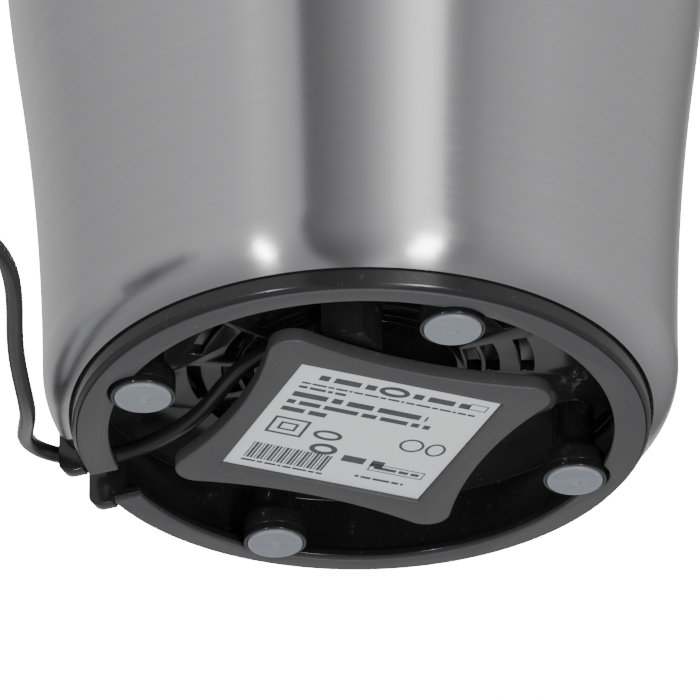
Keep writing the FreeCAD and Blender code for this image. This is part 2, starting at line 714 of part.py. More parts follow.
# ------------------------------------------------------------------ motor
def bracket(name, low, high, boss_low, boss_high):
    """Die-cast end bracket with a bearing boss, four bolt holes and two windows."""
    plate = raised(name + "_plate", rounded_rectangle(size("stack_x"), size("stack_y"), 6.0),
                   low, f"({high}) - ({low})")
    boss = rod(name + "_boss", "#bearing_radius + #boss_wall", boss_low, boss_high)
    tools = [rod(name + "_bore", "#bearing_radius", f"({boss_low}) - 1", f"({boss_high}) + 1")]
    for count, at in enumerate(bolt_points()):
        tools.append(rod(f"{name}_hole_{count}", "#bolt_hole", f"({low}) - 1", f"({high}) + 1", at))
    window = "#stack_y / 2 - #bearing_radius - #boss_wall - 7.5"
    for side in (1, -1):
        middle = (size("bearing_radius") + size("boss_wall") + size("stack_y") / 2 - 0.5) / 2
        tools.append(block(f"{name}_window_{side}", "#stack_x - 34", window, f"({low}) - 1",
                           f"({high}) + 1", 0, 0, side * middle))
    node(name, cut(name + "_cut", join(name + "_whole", [plate, boss]), tools))


def brackets_and_bearings():
    bracket("lower_bracket", "#lower_low", "#lower_top", "#lower_low - 2", "#lower_top + 3")
    bracket("upper_bracket", "#upper_low", "#upper_top", "#upper_low - 2", "#upper_top + 5")
    for name, low in (("lower_bearing", "#lower_low - 1.5"), ("upper_bearing", "#upper_low - 1")):
        node(name, ring(name + "_bush", "#bearing_radius", "#shaft_radius + #running_gap", low,
                        f"{low} + #bearing_tall"))


def stator():
    stack = raised("stack", rounded_rectangle(size("stack_x"), size("stack_y"), 6.0),
                   "#stack_low", "#stack_tall")
    tools = [rod("stack_bore", "#rotor_radius + #air_gap", "#stack_low - 1", "#stack_high + 1")]
    coils = []
    for count, at in enumerate(bolt_points()):
        tools.append(rod(f"stack_hole_{count}", "#bolt_hole", "#stack_low - 1", "#stack_high + 1",
                         at))
    leg = size("rotor_radius") + size("air_gap") + 4        # where the winding passes the stack
    wide, thick, spare = 23.0, 5.0, 0.4
    for side in (1, -1):
        for half in (1, -1):
            tools.append(block(f"stack_window_{side}_{half}", f"{thick + spare}", f"{wide / 4 + 0.65}",
                               "#stack_low - 1", "#stack_high + 1", 0, side * leg,
                               half * (wide / 2 + 3)))
        loop = block(f"coil_loop_{side}", f"{thick}", f"{wide + 12}", "#stack_low - #coil_overhang",
                     "#stack_high + #coil_overhang", 0, side * leg)
        core = block(f"coil_core_{side}", f"{thick + 2}", f"{wide}", f"#stack_low - {spare}",
                     f"#stack_high + {spare}", 0, side * leg)
        coils.append(cut(f"coil_{side}", loop, [core]))
    node("stator_core", cut("stator_cut", stack, tools))
    node("field_coils", group("field_coil_group", coils))


def motor_bolts():
    """Four through bolts; sleeves keep the brackets apart and rubber keeps them off the posts."""
    bolts, spacers, mounts = [], [], []
    sleeve, bore = "#bolt_radius + 1.4", "#bolt_radius + 0.15"
    for count, at in enumerate(bolt_points()):
        bolts.append(screw(f"motor_bolt_{count}", "#bolt_radius + 1.6", "#lower_low - 2.6",
                           "#lower_low - 0.1", "#bolt_radius", "#deck - 4", at))
        for label, low, high in (("low", "#lower_top", "#stack_low"),
                                 ("high", "#stack_high", "#upper_low")):
            spacers.append(ring(f"spacer_{label}_{count}", sleeve, bore, f"{low} + 0.05",
                                f"{high} - 0.05", at))
        mounts.append(ring(f"damper_{count}", "4.8", bore, "#upper_top + 0.05",
                           "#hanger_low - 0.05", at))
    node("motor_bolts", group("motor_bolt_group", bolts))
    node("bolt_spacers", group("bolt_spacer_group", spacers))
    node("damping_mounts", group("damping_mount_group", mounts))


def brushes():
    """Two brush sets on either side of the commutator, along Y."""
    holders, carbons, springs = [], [], []
    contact = size("commutator_radius") + 0.3
    carbon_wide, carbon_tall, carbon_long = 6.0, 5.0, 8.0
    middle = "(#drum_low + #drum_high) / 2"

    def bar(name, length, width, tall, turn, reach):
        return block(name, f"{length}", f"{width}", f"{middle} - {tall / 2}",
                     f"{middle} + {tall / 2}", turn, reach)

    for side in (1, -1):
        turn = 90 * side
        case = bar(f"holder_case_{side}", 12, carbon_wide + 3, carbon_tall + 3, turn, contact + 8)
        tunnel = bar(f"holder_tunnel_{side}", 14, carbon_wide + 0.2, carbon_tall + 0.2, turn,
                     contact + 8)
        holders.append(cut(f"holder_{side}", case, [tunnel]))
        carbons.append(bar(f"carbon_{side}", carbon_long, carbon_wide, carbon_tall, turn,
                           contact + carbon_long / 2))
        springs.append(bar(f"spring_core_{side}", 5.5, 3.4, 3.4, turn,
                           contact + carbon_long + 2.8))
    node("brush_holders", group("holder_group", holders))
    node("carbon_brushes", group("carbon_group", carbons))
    node("brush_springs", group("spring_group", springs))


def rotor():
    teeth = 12
    node("motor_shaft", rod("shaft_rod", "#shaft_radius", "#fan_low - 2", "#blade_top + 4.5"))
    core = ring("rotor_stack", "#rotor_radius", "#shaft_radius", "#stack_low", "#stack_high")
    slots = [block(f"rotor_slot_{count}", "4.5", "1.6", "#stack_low - 1", "#stack_high + 1",
                   360 / teeth * count, size("rotor_radius") - 2) for count in range(teeth)]
    node("rotor_core", cut("rotor_core_cut", core, slots))
    ends = [ring(f"winding_{label}", "#rotor_radius - 1.5", "#shaft_radius + 1.5", low, high)
            for label, low, high in (("low", "#stack_low - 4", "#stack_low - 0.05"),
                                     ("high", "#stack_high + 0.05", "#stack_high + 4"))]
    node("rotor_windings", group("rotor_winding_group", ends))
    drum = ring("commutator_drum", "#commutator_radius", "#shaft_radius", "#drum_low", "#drum_high")
    gaps = [block(f"commutator_gap_{count}", "3", "0.5", "#drum_low - 1", "#drum_high + 1",
                  360 / teeth * count, size("commutator_radius")) for count in range(teeth)]
    node("commutator", cut("commutator_cut", drum, gaps))


def cooling_fan():
    """Radial fan: a disc over a hub, with paddles set aside from the radius."""
    paddles, paddle_long = 9, 20.0
    hub = ring("fan_hub", "#shaft_radius + 4", "#shaft_radius", "#fan_low", "#fan_top + 1")
    disc = ring("fan_disc", "#fan_radius", "#shaft_radius", "#fan_top - 1.5", "#fan_top")
    fins = [block(f"paddle_{count}", f"{paddle_long}", "1.5", "#fan_low", "#fan_top - 1",
                  360 / paddles * count, size("fan_radius") - paddle_long / 2 - 1.5, 3)
            for count in range(paddles)]
    node("cooling_fan", join("cooling_fan_whole", [hub, disc] + fins))


def blade():
    """Two-winged chopping blade: one wing bent up, the other down."""
    reach, root, wide = size("blade_reach"), 6.2, 4.4
    centre = ring("blade_centre", "#shaft_radius + 4.5", "#shaft_radius", "#blade_low",
                  "#blade_top")
    outline = [(root, -wide), (reach - 8, -wide - 0.4), (reach, -1), (reach - 1, wide - 0.4),
               (root, wide)]
    wings = []
    for side, tilt in ((0, -14.0), (180, 9.0)):
        wing = raised(f"wing_{side}", closed(outline), "0", "#blade_thick")
        lean, spin = FreeCAD.Rotation(V(0, 1, 0), tilt), FreeCAD.Rotation(UP, side)
        lift = V(0, 0, size("blade_low") + root * math.sin(math.radians(tilt)))
        wing.Placement = FreeCAD.Placement(lift, spin.multiply(lean))
        wings.append(wing)
    bore = rod("blade_bore", "#shaft_radius", "#bowl_floor", "#blade_top + 8")
    node("blade", cut("blade_cut", join("blade_whole", [centre] + wings), [bore]))
    hexagon = doc.addObject("Part::Prism", "nut_hexagon")
    hexagon.Polygon = 6
    hexagon.setExpression("Circumradius", formula("#shaft_radius + 2.2"))
    hexagon.Height = 3.4
    hexagon.setExpression("Placement.Base.z", formula("#blade_top + 0.05"))
    crown = cone("nut_crown", "#shaft_radius + 1.4", "#shaft_radius - 0.4", "#blade_top + 3.4",
                 "#blade_top + 6")
    hole = rod("nut_bore", "#shaft_radius", "#bowl_floor", "#blade_top + 4.6")
    node("blade_nut", cut("blade_nut_cut", join("nut_whole", [hexagon, crown]), [hole]))


# ------------------------------------------------------------------ electrical pieces
def electrics():
    beside = 2.0
    capacitor = size("stack_x") / 2 + 4 + beside
    terminals = size("stack_y") / 2 + 3.75 + beside + 5.4
    node("suppression_capacitor", block("capacitor_box", "8", "18", "#stack_low",
                                        "#stack_low + 18", 0, capacitor))
    node("terminal_block", block("terminal_box", "7.5", "18", "#stack_low", "#stack_low + 14",
                                 -90, terminals))
    fuse = doc.addObject("Part::Cylinder", "fuse_tube")
    fuse.Radius = 2.0
    fuse.Height = 12.0
    fuse.Placement = FreeCAD.Placement(
        V(-6, size("stack_y") / 2 + 2.2, (size("stack_low") + size("stack_high")) / 2),
        FreeCAD.Rotation(V(0, 1, 0), 90))
    node("thermal_fuse", fuse)


# ------------------------------------------------------------------ push button and switch
def tangent_rod(name, radius, length, reach):
    """Cylinder across the button's direction, at the height of the switch lever's pivot."""
    thing = doc.addObject("Part::Cylinder", name)
    thing.setExpression("Radius", formula(radius))
    thing.Height = length
    spin = FreeCAD.Rotation(UP, size("button_angle"))
    start = spin.multVec(V(reach, length / 2, size("pivot")))
    thing.Placement = FreeCAD.Placement(start, spin.multiply(FreeCAD.Rotation(V(1, 0, 0), 90)))
    return thing


def push_button(flange_in, flange_out, nose_in):
    """Rounded face that stands out through the collar, a flange behind it and a nose inside."""
    face, start = side_profile()[3][0] + size("button_proud"), flange_out - 0.5
    pad = doc.addObject("PartDesign::Body", "button_body")
    sketch = sketch_on(pad, "YZ_Plane", rounded_rectangle(
        size("button_width"), size("button_tall"), 3.0, (0, size("button_mid"))))
    sketch.AttachmentOffset = FreeCAD.Placement(V(0, 0, start), FreeCAD.Rotation())
    doc.recompute()
    push = pad.newObject("PartDesign::Pad", "button_pad")
    push.Profile = sketch
    push.Length = face - start
    pad.Tip = push
    doc.recompute()
    outer = max(range(len(push.Shape.Faces)), key=lambda index:
                push.Shape.Faces[index].CenterOfMass.x)
    soft = pad.newObject("PartDesign::Fillet", "button_edge")
    soft.Base = (push, [f"Face{outer + 1}"])
    soft.Radius = 1.0
    pad.Tip = soft
    angle = size("button_angle")
    pad.Placement = FreeCAD.Placement(V(0, 0, 0), FreeCAD.Rotation(UP, angle))
    half = "#button_tall / 2 + #flange_margin"
    flange = block("button_flange", f"{flange_out - flange_in}",
                   "#button_width + 2 * #flange_margin", f"#button_mid - ({half})",
                   f"#button_mid + {half}", angle, (flange_out + flange_in) / 2)
    nose = block("button_nose", f"{flange_in - nose_in + 0.2}", "4", "#button_mid + 1.5",
                 "#button_mid + 3.5", angle, (flange_in + nose_in + 0.2) / 2)
    node("push_button", join("push_button_whole", [pad, flange, nose]))


def button_and_switch():
    """The button's nose pushes the arm of a lever switch that stands on the deck."""
    angle = size("button_angle")
    flange_out = side_profile()[3][0] - size("collar_margin") - 1.3
    flange_in = flange_out - 1.3
    nose_in = flange_in - size("button_travel")
    push_button(flange_in, flange_out, nose_in)

    pivot_reach = nose_in - 0.5
    arm_wide, ear_thick = 8.0, 1.6
    ear_at = arm_wide / 2 + 1.8 + ear_thick / 2
    body = block("switch_box", "5.4", "16", "#deck_top + 2", "#pivot - 1.6", angle,
                 pivot_reach + 0.8)
    ears = [block(f"switch_ear_{side}", "3.4", f"{ear_thick}", "#pivot - 2", "#pivot + 1.4",
                  angle, pivot_reach, side * ear_at) for side in (1, -1)]
    pin_hole = tangent_rod("axle_hole", "#pin_radius", 18, pivot_reach)
    node("switch_body", cut("switch_body_cut", join("switch_body_whole", [body] + ears),
                            [pin_hole]))
    node("lever_pin", tangent_rod("lever_axle", "#pin_radius", 16, pivot_reach))
    hub = tangent_rod("lever_hub", "#pin_radius + 0.7", 10, pivot_reach)
    arm = block("lever_arm", "0.6", f"{arm_wide}", "#pivot + 0.9", "#button_mid + 3.6",
                angle, nose_in - 0.4)
    clear = tangent_rod("lever_bore", "#pin_radius + #running_gap", 18, pivot_reach)
    node("switch_lever", cut("switch_lever_cut", join("switch_lever_whole", [hub, arm]), [clear]))


# ------------------------------------------------------------------ mains lead
LEAD_ROUTE = [
    # inside the recess, from the gland round the spool to the slot
    (-8.5, -17.0, 8.2), (-13.6, -14.6, 8.2), (-18.0, -10.2, 8.1), (-21.2, -4.0, 8.0),
    (-24.2, 3.0, 7.9), (-28.6, 9.4, 7.8), (-34.0, 14.4, 7.7), (-39.8, 17.5, 7.6),
    # through the slot, round its cheek and down to the table
    (-46.1, 17.4, 7.5), (-50.9, 13.6, 7.0), (-52.6, 7.6, 5.7), (-52.0, 1.2, 4.0),
    (-51.3, -5.4, 2.4), (-51.4, -12.0, 1.5),
    # along the table beside the casing, then away from it to the coil
    (-51.8, -18.6, 1.35), (-52.1, -25.4, 1.35), (-52.0, -32.4, 1.35), (-51.6, -39.6, 1.35),
    (-51.5, -47.0, 1.35), (-52.2, -54.0, 1.35), (-54.8, -60.6, 1.35), (-59.6, -66.0, 1.35),
    (-66.2, -69.4, 1.35), (-74.0, -70.4, 1.35), (-82.0, -70.0, 1.35),
]
TAIL_ROUTE = [
    # off the top of the coil, down to the table and up to the nose of the plug
    (-100.2, -51.8, 6.6), (-100.8, -46.0, 6.5), (-101.2, -40.0, 5.2), (-100.0, -34.0, 3.2),
    (-96.8, -28.8, 1.9), (-92.2, -24.8, 1.6), (-87.6, -21.0, 2.4), (-84.8, -16.0, 4.4),
    (-84.0, -10.2, 6.3), (-84.0, -4.4, 6.85),
]
INNER_ROUTE = [
    # from the gland up through the floor and along the sleeve to the terminal block
    (-0.8, -20.6, 13.05), (-0.8, -20.8, 15.4), (-0.8, -24.4, 18.0), (-0.8, -30.2, 18.4),
    (-0.8, -34.8, 21.4), (-0.8, -36.4, 26.8), (-0.8, -36.8, 36.0), (-0.8, -36.3, 48.0),
    (-0.8, -36.2, 59.05),
]
COIL_CENTRE = (-82.0, -51.8)
# The lead was laid out round a ring of this radius. On another ring the coil, its tail and the
# plug move away with the casing, and the run between spreads with the ring.
LAID_ROUND = 44.0
AT_COIL = 4                       # points of the lead that move with the coil
spread = size("ring_radius") / LAID_ROUND
away = (COIL_CENTRE[0] * (spread - 1), COIL_CENTRE[1] * (spread - 1))


def moved(points):
    """The same points, moved away with the coil."""
    return [(x + away[0], y + away[1], z) for x, y, z in points]


LEAD_ROUTE = ([(x * spread, y * spread, z) for x, y, z in LEAD_ROUTE[:-AT_COIL]]
              + moved(LEAD_ROUTE[-AT_COIL:]))
TAIL_ROUTE = moved(TAIL_ROUTE)
COIL_CENTRE = (COIL_CENTRE[0] + away[0], COIL_CENTRE[1] + away[1])
PLUG_AT = TAIL_ROUTE[-1]          # where the lead meets the nose of the plug
PLUG_NOSE, PLUG_TAPER, PLUG_FLAT, PIN_LONG = 14.0, 19.0, 12.0, 19.0


ARC_SHARE = 0.45                  # of the shorter run, taken up by the arc at each corner


def swept(name, points, radius):
    """Round tube along straight runs joined by tangent arcs; prints the smallest arc."""
    corners = [V(*point) for point in points]
    runs = [(b - a).Length for a, b in zip(corners, corners[1:])]
    edges, here, radii = [], corners[0], []
    for count in range(1, len(corners) - 1):
        before = (corners[count] - corners[count - 1]).normalize()
        after = (corners[count + 1] - corners[count]).normalize()
        half = before.getAngle(after) / 2
        back = ARC_SHARE * min(runs[count - 1], runs[count])
        radii.append(back / math.tan(half))
        start, end = corners[count] - before * back, corners[count] + after * back
        inward = (after - before).normalize()
        sag = radii[-1] / math.cos(half) - radii[-1]
        edges.append(Part.LineSegment(here, start).toShape())
        edges.append(Part.Arc(start, corners[count] + inward * sag, end).toShape())
        here = end
    edges.append(Part.LineSegment(here, corners[-1]).toShape())
    path = Part.Wire(edges)
    section = Part.Wire(Part.makeCircle(radius, corners[0], corners[1] - corners[0]))
    shape = path.makePipeShell([section], True, False)
    expected = path.Length * math.pi * radius ** 2
    print(f"{name}: length {path.Length:.1f}, radii {min(radii):.1f} to {max(radii):.1f}, "
          f"volume ratio {shape.Volume / expected:.4f}")
    thing = doc.addObject("Part::Feature", name)
    thing.Shape = shape
    return thing


def cord_gland():
    """Clamp under the recess floor with a tapered nose that the lead comes out of."""
    first, second = V(*LEAD_ROUTE[0]), V(*LEAD_ROUTE[1])
    way = (second - first).normalize()
    nose_long, side = 5.0, 7.0
    root = first - way * nose_long
    nose = doc.addObject("Part::Cone", "gland_nose")
    nose.setExpression("Radius1", formula("#cord_radius + 1.4"))
    nose.setExpression("Radius2", formula("#cord_radius + 0.6"))
    nose.Height = nose_long
    nose.Placement = FreeCAD.Placement(root, FreeCAD.Rotation(UP, way))
    middle = root - way * (side / 2 - 0.5)
    clamp = block("gland_clamp", f"{side}", f"{side}", "#floor_low - 8", "#floor_low",
                  math.degrees(math.atan2(way.y, way.x)))
    clamp.Placement.Base = clamp.Placement.Base + V(middle.x, middle.y, 0)
    node("cord_gland", join("cord_gland_whole", [clamp, nose]))


def cord_coil():
    """Outer shape of the wound turns, one closed ring that lies on the table."""
    middle, half, tall = size("coil_radius"), size("coil_half"), size("coil_height")
    body = turned("coil_spun", rounded_rectangle(2 * half, tall, 2.4, (middle, tall / 2)))
    body.Placement = FreeCAD.Placement(V(*COIL_CENTRE, 0), FreeCAD.Rotation())
    node("cord_coil", body)


def plug():
    """Flat two-pin plug lying on the table, its pins along +Y."""
    x, y, z = PLUG_AT
    half_width, half_thick = size("plug_width") / 2, size("plug_half")
    front = PLUG_NOSE + PLUG_TAPER + PLUG_FLAT - 2
    sections = []
    for count, (away, half_w, half_t) in enumerate(((PLUG_NOSE - 1, 6.0, 4.6),
                                                    (PLUG_NOSE + PLUG_TAPER, half_width, half_thick),
                                                    (front, half_width, half_thick))):
        flat = half_w - half_t * 0.8
        edges = closed([(half_w, 0), (flat, half_t), (-flat, half_t), (-half_w, 0),
                        (-flat, -half_t), (flat, -half_t)])
        sketch = doc.addObject("Sketcher::SketchObject", f"plug_section_{count}")
        for edge in edges:
            sketch.addGeometry(edge, False)
        sketch.Placement = FreeCAD.Placement(V(x, y + away, z), FreeCAD.Rotation(V(1, 0, 0), 90))
        sections.append(sketch)
    loft = doc.addObject("Part::Loft", "plug_loft")
    loft.Sections = sections
    loft.Solid = True
    loft.Ruled = True
    forward = FreeCAD.Rotation(V(1, 0, 0), -90)
    nose = doc.addObject("Part::Cone", "plug_nose")
    nose.setExpression("Radius1", formula("#cord_radius + 0.8"))
    nose.Radius2 = 4.0
    nose.Height = PLUG_NOSE
    nose.Placement = FreeCAD.Placement(V(x, y, z), forward)
    node("plug_body", join("plug_body_whole", [loft, nose]))
    pins = []
    for side in (1, -1):
        pin = doc.addObject("Part::Cylinder", f"plug_pin_{side}")
        pin.Radius = 2.0
        pin.Height = PIN_LONG
        pin.Placement = FreeCAD.Placement(V(x + side * size("pin_spread"), y + front, z), forward)
        pins.append(pin)
    node("plug_pins", group("plug_pin_group", pins))


def mains_lead():
    cord_gland()
    node("cord_lead", swept("lead_tube", LEAD_ROUTE, size("cord_radius")))
    cord_coil()
    node("cord_tail", swept("tail_tube", TAIL_ROUTE, size("cord_radius")))
    plug()
    node("inner_lead", swept("inner_tube", INNER_ROUTE, size("core_radius")))


def build_all():
    base_ring()
    base_pan()
    feet()
    base_screws()
    winder_plate()
    housing_shell()
    inner_housing()
    air_baffle()
    collar()
    bowl()
    lid()
    brackets_and_bearings()
    stator()
    motor_bolts()
    brushes()
    rotor()
    cooling_fan()
    blade()
    electrics()
    button_and_switch()
    mains_lead()


build_all()
doc.recompute()

# ------------------------------------------------------------------ checks and export
for thing in doc.Objects:
    if "Invalid" in thing.State or "Error" in thing.State:
        raise RuntimeError(f"{thing.Name} failed: {thing.State}")
for name, thing in nodes.items():
    shape = thing.Shape
    if shape.isNull() or not shape.isValid() or not shape.Solids:
        raise RuntimeError(f"{name} has no valid solid")
for name, thing in nodes.items():
    thing.Shape.exportStep(f"parts/{name}.step")
    print(f"{name}: {len(thing.Shape.Solids)} solids, {thing.Shape.Volume:.1f} mm3")
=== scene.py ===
# %% [markdown]
# # An electric blade coffee grinder, seen from underneath
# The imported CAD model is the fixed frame: every motor part, screw and panel is already there
# at its true size. This notebook gives each piece its finish, and models again those pieces
# whose skin needs more than CAD gives: rounded edges, rolled steel, printed marks, a cord.

# %% Load the frame
import json
import math

import bmesh
import bpy
from mathutils import Matrix, Vector


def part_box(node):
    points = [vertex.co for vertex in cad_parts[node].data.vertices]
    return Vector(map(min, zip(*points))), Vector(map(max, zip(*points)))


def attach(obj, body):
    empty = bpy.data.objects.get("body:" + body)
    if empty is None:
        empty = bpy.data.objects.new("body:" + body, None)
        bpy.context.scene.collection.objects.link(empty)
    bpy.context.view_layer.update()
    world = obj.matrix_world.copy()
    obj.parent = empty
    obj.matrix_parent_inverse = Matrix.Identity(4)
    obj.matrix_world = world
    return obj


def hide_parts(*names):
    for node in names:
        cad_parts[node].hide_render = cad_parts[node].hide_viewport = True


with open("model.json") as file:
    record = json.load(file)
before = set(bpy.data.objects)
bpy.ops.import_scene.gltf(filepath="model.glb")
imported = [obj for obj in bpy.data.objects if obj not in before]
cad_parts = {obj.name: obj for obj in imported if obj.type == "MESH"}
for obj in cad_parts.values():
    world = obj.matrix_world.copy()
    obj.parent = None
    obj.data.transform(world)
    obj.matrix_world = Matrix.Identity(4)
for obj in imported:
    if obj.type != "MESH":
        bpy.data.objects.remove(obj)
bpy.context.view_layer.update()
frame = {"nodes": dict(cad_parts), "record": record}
nodes = frame["nodes"]

# %% [markdown]
# Blender works in metres and the maker's drawing in millimetres. One named factor keeps the
# two apart, so that every size below reads as it would on the drawing.

# %% Units and small helpers
MM = 0.001


def polar(radius, angle, height=0.0):
    """A point at a radius in mm, an angle in degrees from +X and a height in mm."""
    turn = math.radians(angle)
    return Vector((radius * math.cos(turn), radius * math.sin(turn), height)) * MM


def top_of(node):
    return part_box(node)[1].z / MM


def low_of(node):
    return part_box(node)[0].z / MM


RIM = low_of("base_ring")             # the ring's underside stands this far above the table
print("the ring's underside is", round(RIM, 2), "mm above the table")

# %% [markdown]
# ## Camera
# The grinder is tipped back and looked at from below and in front, with a long lens, so the
# casing hardly tapers. Turning the camera instead of the grinder keeps the part upright in
# its own frame. The camera aims at the middle of the base ring, and then a little aside, so
# that the casing runs out of the top of the view.

# %% Camera
CAMERA_DISTANCE = 1017.4              # mm from the middle of the ring
CAMERA_BELOW = 29.42                  # degrees below the horizon
AIM_ASIDE, AIM_UP, CAMERA_ROLL = -0.090, 0.748, -0.745
FOCAL_LENGTH = 338.2                  # mm on a 36 mm sensor

camera_data = bpy.data.cameras.new("camera")
camera_data.sensor_width = 36
camera_data.lens = FOCAL_LENGTH
camera_data.clip_start, camera_data.clip_end = 0.05, 20
camera = bpy.data.objects.new("camera", camera_data)
bpy.context.scene.collection.objects.link(camera)
bpy.context.scene.camera = camera


def aim_camera():
    """Sets the camera from the named angles and returns its view direction."""
    fall = math.radians(CAMERA_BELOW)
    ring_middle = Vector((0, 0, RIM * MM))
    away = Vector((0, -math.cos(fall), -math.sin(fall))) * CAMERA_DISTANCE * MM
    ahead = -away.normalized()
    side = ahead.cross(Vector((0, 0, 1))).normalized()
    over = side.cross(ahead)
    look = ahead + side * math.tan(math.radians(AIM_ASIDE)) + over * math.tan(math.radians(AIM_UP))
    look.normalize()
    side = look.cross(over).normalized()
    over = side.cross(look)
    roll = math.radians(CAMERA_ROLL)
    right = side * math.cos(roll) + over * math.sin(roll)
    up = over * math.cos(roll) - side * math.sin(roll)
    pose = Matrix((right, up, -look)).transposed().to_4x4()
    pose.translation = ring_middle + away
    camera.matrix_world = pose
    return look


print("camera looks along", [round(x, 3) for x in aim_camera()])

# %% [markdown]
# ## The mains lead
# A thin, limp, black two-core lead. It leaves a clamp in the recess, goes round the spool,
# out of the slot in the rim, and down to the table. What isn't needed is wound into a neat
# round coil with its plug beside it. A NURBS curve follows the same points as the CAD tube,
# and the turns of the coil are more points of the same spline, worked out by a loop.

# %% Route of the lead
CORD_THICK = 2.64
LEAD = [
    (-8.5, -17.0, 8.2), (-13.6, -14.6, 8.2), (-18.0, -10.2, 8.1), (-21.2, -4.0, 8.0),
    (-24.2, 3.0, 7.9), (-28.6, 9.4, 7.8), (-34.0, 14.4, 7.7), (-39.8, 17.5, 7.6),
    (-46.1, 17.4, 7.5), (-50.9, 13.6, 7.0), (-52.6, 7.6, 5.7), (-52.0, 1.2, 4.0),
    (-51.3, -5.4, 2.4), (-51.4, -12.0, 1.5),
    (-51.8, -18.6, 1.35), (-52.1, -25.4, 1.35), (-52.0, -32.4, 1.35), (-51.6, -39.6, 1.35),
    (-51.5, -47.0, 1.35), (-52.2, -54.0, 1.35), (-54.8, -60.6, 1.35), (-59.6, -66.0, 1.35),
    (-66.2, -69.4, 1.35), (-74.0, -70.4, 1.35), (-82.0, -70.0, 1.35),
]
TAIL = [
    (-100.2, -51.8, 6.6), (-100.8, -46.0, 6.5), (-101.2, -40.0, 5.2), (-100.0, -34.0, 3.2),
    (-96.8, -28.8, 1.9), (-92.2, -24.8, 1.6), (-87.6, -21.0, 2.4), (-84.8, -16.0, 4.4),
    (-84.0, -10.2, 6.3), (-84.0, -4.4, 6.85),
]
COIL_LOW, COIL_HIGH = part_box("cord_coil")
COIL_MIDDLE = (COIL_LOW + COIL_HIGH) / 2 / MM
COIL_OUTER = (COIL_HIGH.x - COIL_LOW.x) / 2 / MM - CORD_THICK / 2
POINTS_A_TURN = 16


SLOTS_OF_COIL = [                     # layer and column of each turn, from the lead to the tail
    (0, 0), (0, 1), (0, 2), (1, 2), (2, 2), (2, 1), (1, 1), (1, 0), (2, 0),
]
LAST_PART = 0.25                      # the tail leaves a quarter turn after the lead came in
SHIFTS_FROM, SHIFTS_TO = 0.36, 0.98   # part of the turn over which the changes of place spread
SHIFT = (SHIFTS_TO - SHIFTS_FROM) / (len(SLOTS_OF_COIL) - 1)
COLUMN_STEP = 1.04                    # space between columns, in thicknesses of the cord


def coil_place(share):
    """Layer and column, as numbers that change smoothly, after so many turns."""
    turn, part = int(share), share - int(share)
    here = SLOTS_OF_COIL[min(turn, len(SLOTS_OF_COIL) - 1)]
    after = SLOTS_OF_COIL[min(turn + 1, len(SLOTS_OF_COIL) - 1)]
    ease = (part - (SHIFTS_TO - SHIFT * (turn + 1))) / SHIFT
    ease = (1 - math.cos(math.pi * min(max(ease, 0.0), 1.0))) / 2
    return [a + (b - a) * ease for a, b in zip(here, after)]


def coil_points():
    """Turns that lie beside and on each other, clockwise from the lead's end to the tail's start."""
    points = []
    turns = len(SLOTS_OF_COIL) - 1 + LAST_PART
    for count in range(1, round(turns * POINTS_A_TURN)):
        share = count / POINTS_A_TURN
        layer, column = coil_place(share)
        reach = COIL_OUTER - column * CORD_THICK * COLUMN_STEP
        at = polar(reach, -90 - 360 * share) / MM
        points.append((COIL_MIDDLE.x + at.x, COIL_MIDDLE.y + at.y, CORD_THICK * (0.5 + layer)))
    return points


print("the coil has", len(coil_points()), "points and an outer turn of radius", round(COIL_OUTER, 2))

# %% The lead as one curve
def cord_curve(name, points, thick):
    """Round cord along control points in mm; the order is set after the points are there.

    The points' own radius carries the thickness, so that the curve's box fits it."""
    data = bpy.data.curves.new(name, "CURVE")
    data.dimensions = "3D"
    data.bevel_depth = 1.0
    data.bevel_resolution = 5
    data.use_fill_caps = True
    spline = data.splines.new("NURBS")
    spline.points.add(len(points) - 1)
    for target, point in zip(spline.points, points):
        target.co = (*[value * MM for value in point], 1)
        target.radius = thick / 2 * MM
    spline.order_u = 3
    spline.use_endpoint_u = True
    spline.resolution_u = 8
    cord = bpy.data.objects.new(name, data)
    bpy.context.scene.collection.objects.link(cord)
    return cord


mains_lead = cord_curve("mains_lead", LEAD[:-1] + coil_points() + TAIL[1:], CORD_THICK)
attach(mains_lead, "housing")
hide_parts("cord_lead", "cord_coil", "cord_tail")


def length_of(cord):
    """Length in mm of the line that a curve's spline follows."""
    plain = cord.data.copy()
    plain.bevel_depth = 0
    holder = bpy.data.objects.new("line", plain)
    line = bpy.data.meshes.new_from_object(holder)
    total = sum((line.vertices[a].co - line.vertices[b].co).length
                for a, b in (edge.vertices for edge in line.edges))
    bpy.data.objects.remove(holder)
    return total / MM


lead_length = length_of(mains_lead)
print("the lead is", round(lead_length), "mm long")

# %% [markdown]
# ## Studio
# Brushed steel shows its surroundings as upright bands, so the studio decides how it looks:
# a plain grey room that is darker and brighter in turn round the horizon, and white below.
# A ramp over the compass bearing of a world shader makes such a room without any panels.
# What the camera sees directly is plain white, by the Light Path node.

# %% World
world = bpy.data.worlds.new("studio")
bpy.context.scene.world = world
world.use_nodes = True
WHITE_BACKDROP = 22.0                 # bright enough to come out as pure white
ROOM_BELOW = 0.6                      # share of the room's brightness far below the horizon
ROOM = [                              # bearing in degrees from -Y towards +X, and brightness
    (-180, 0.78), (-150, 0.62), (-117, 0.46), (-80, 0.57), (-48, 0.67), (-37, 0.72), (-28, 0.72),
    (-20.5, 0.60), (-18.5, 0.15), (-10, 0.24), (2, 0.42), (11, 0.80), (19, 1.75), (24, 1.95),
    (29, 1.60), (30.5, 0.46), (38, 0.33), (48, 0.50), (67, 0.64), (100, 0.55), (125, 0.52),
    (148, 0.30), (158, 0.17), (164, 0.80), (180, 0.75),
]


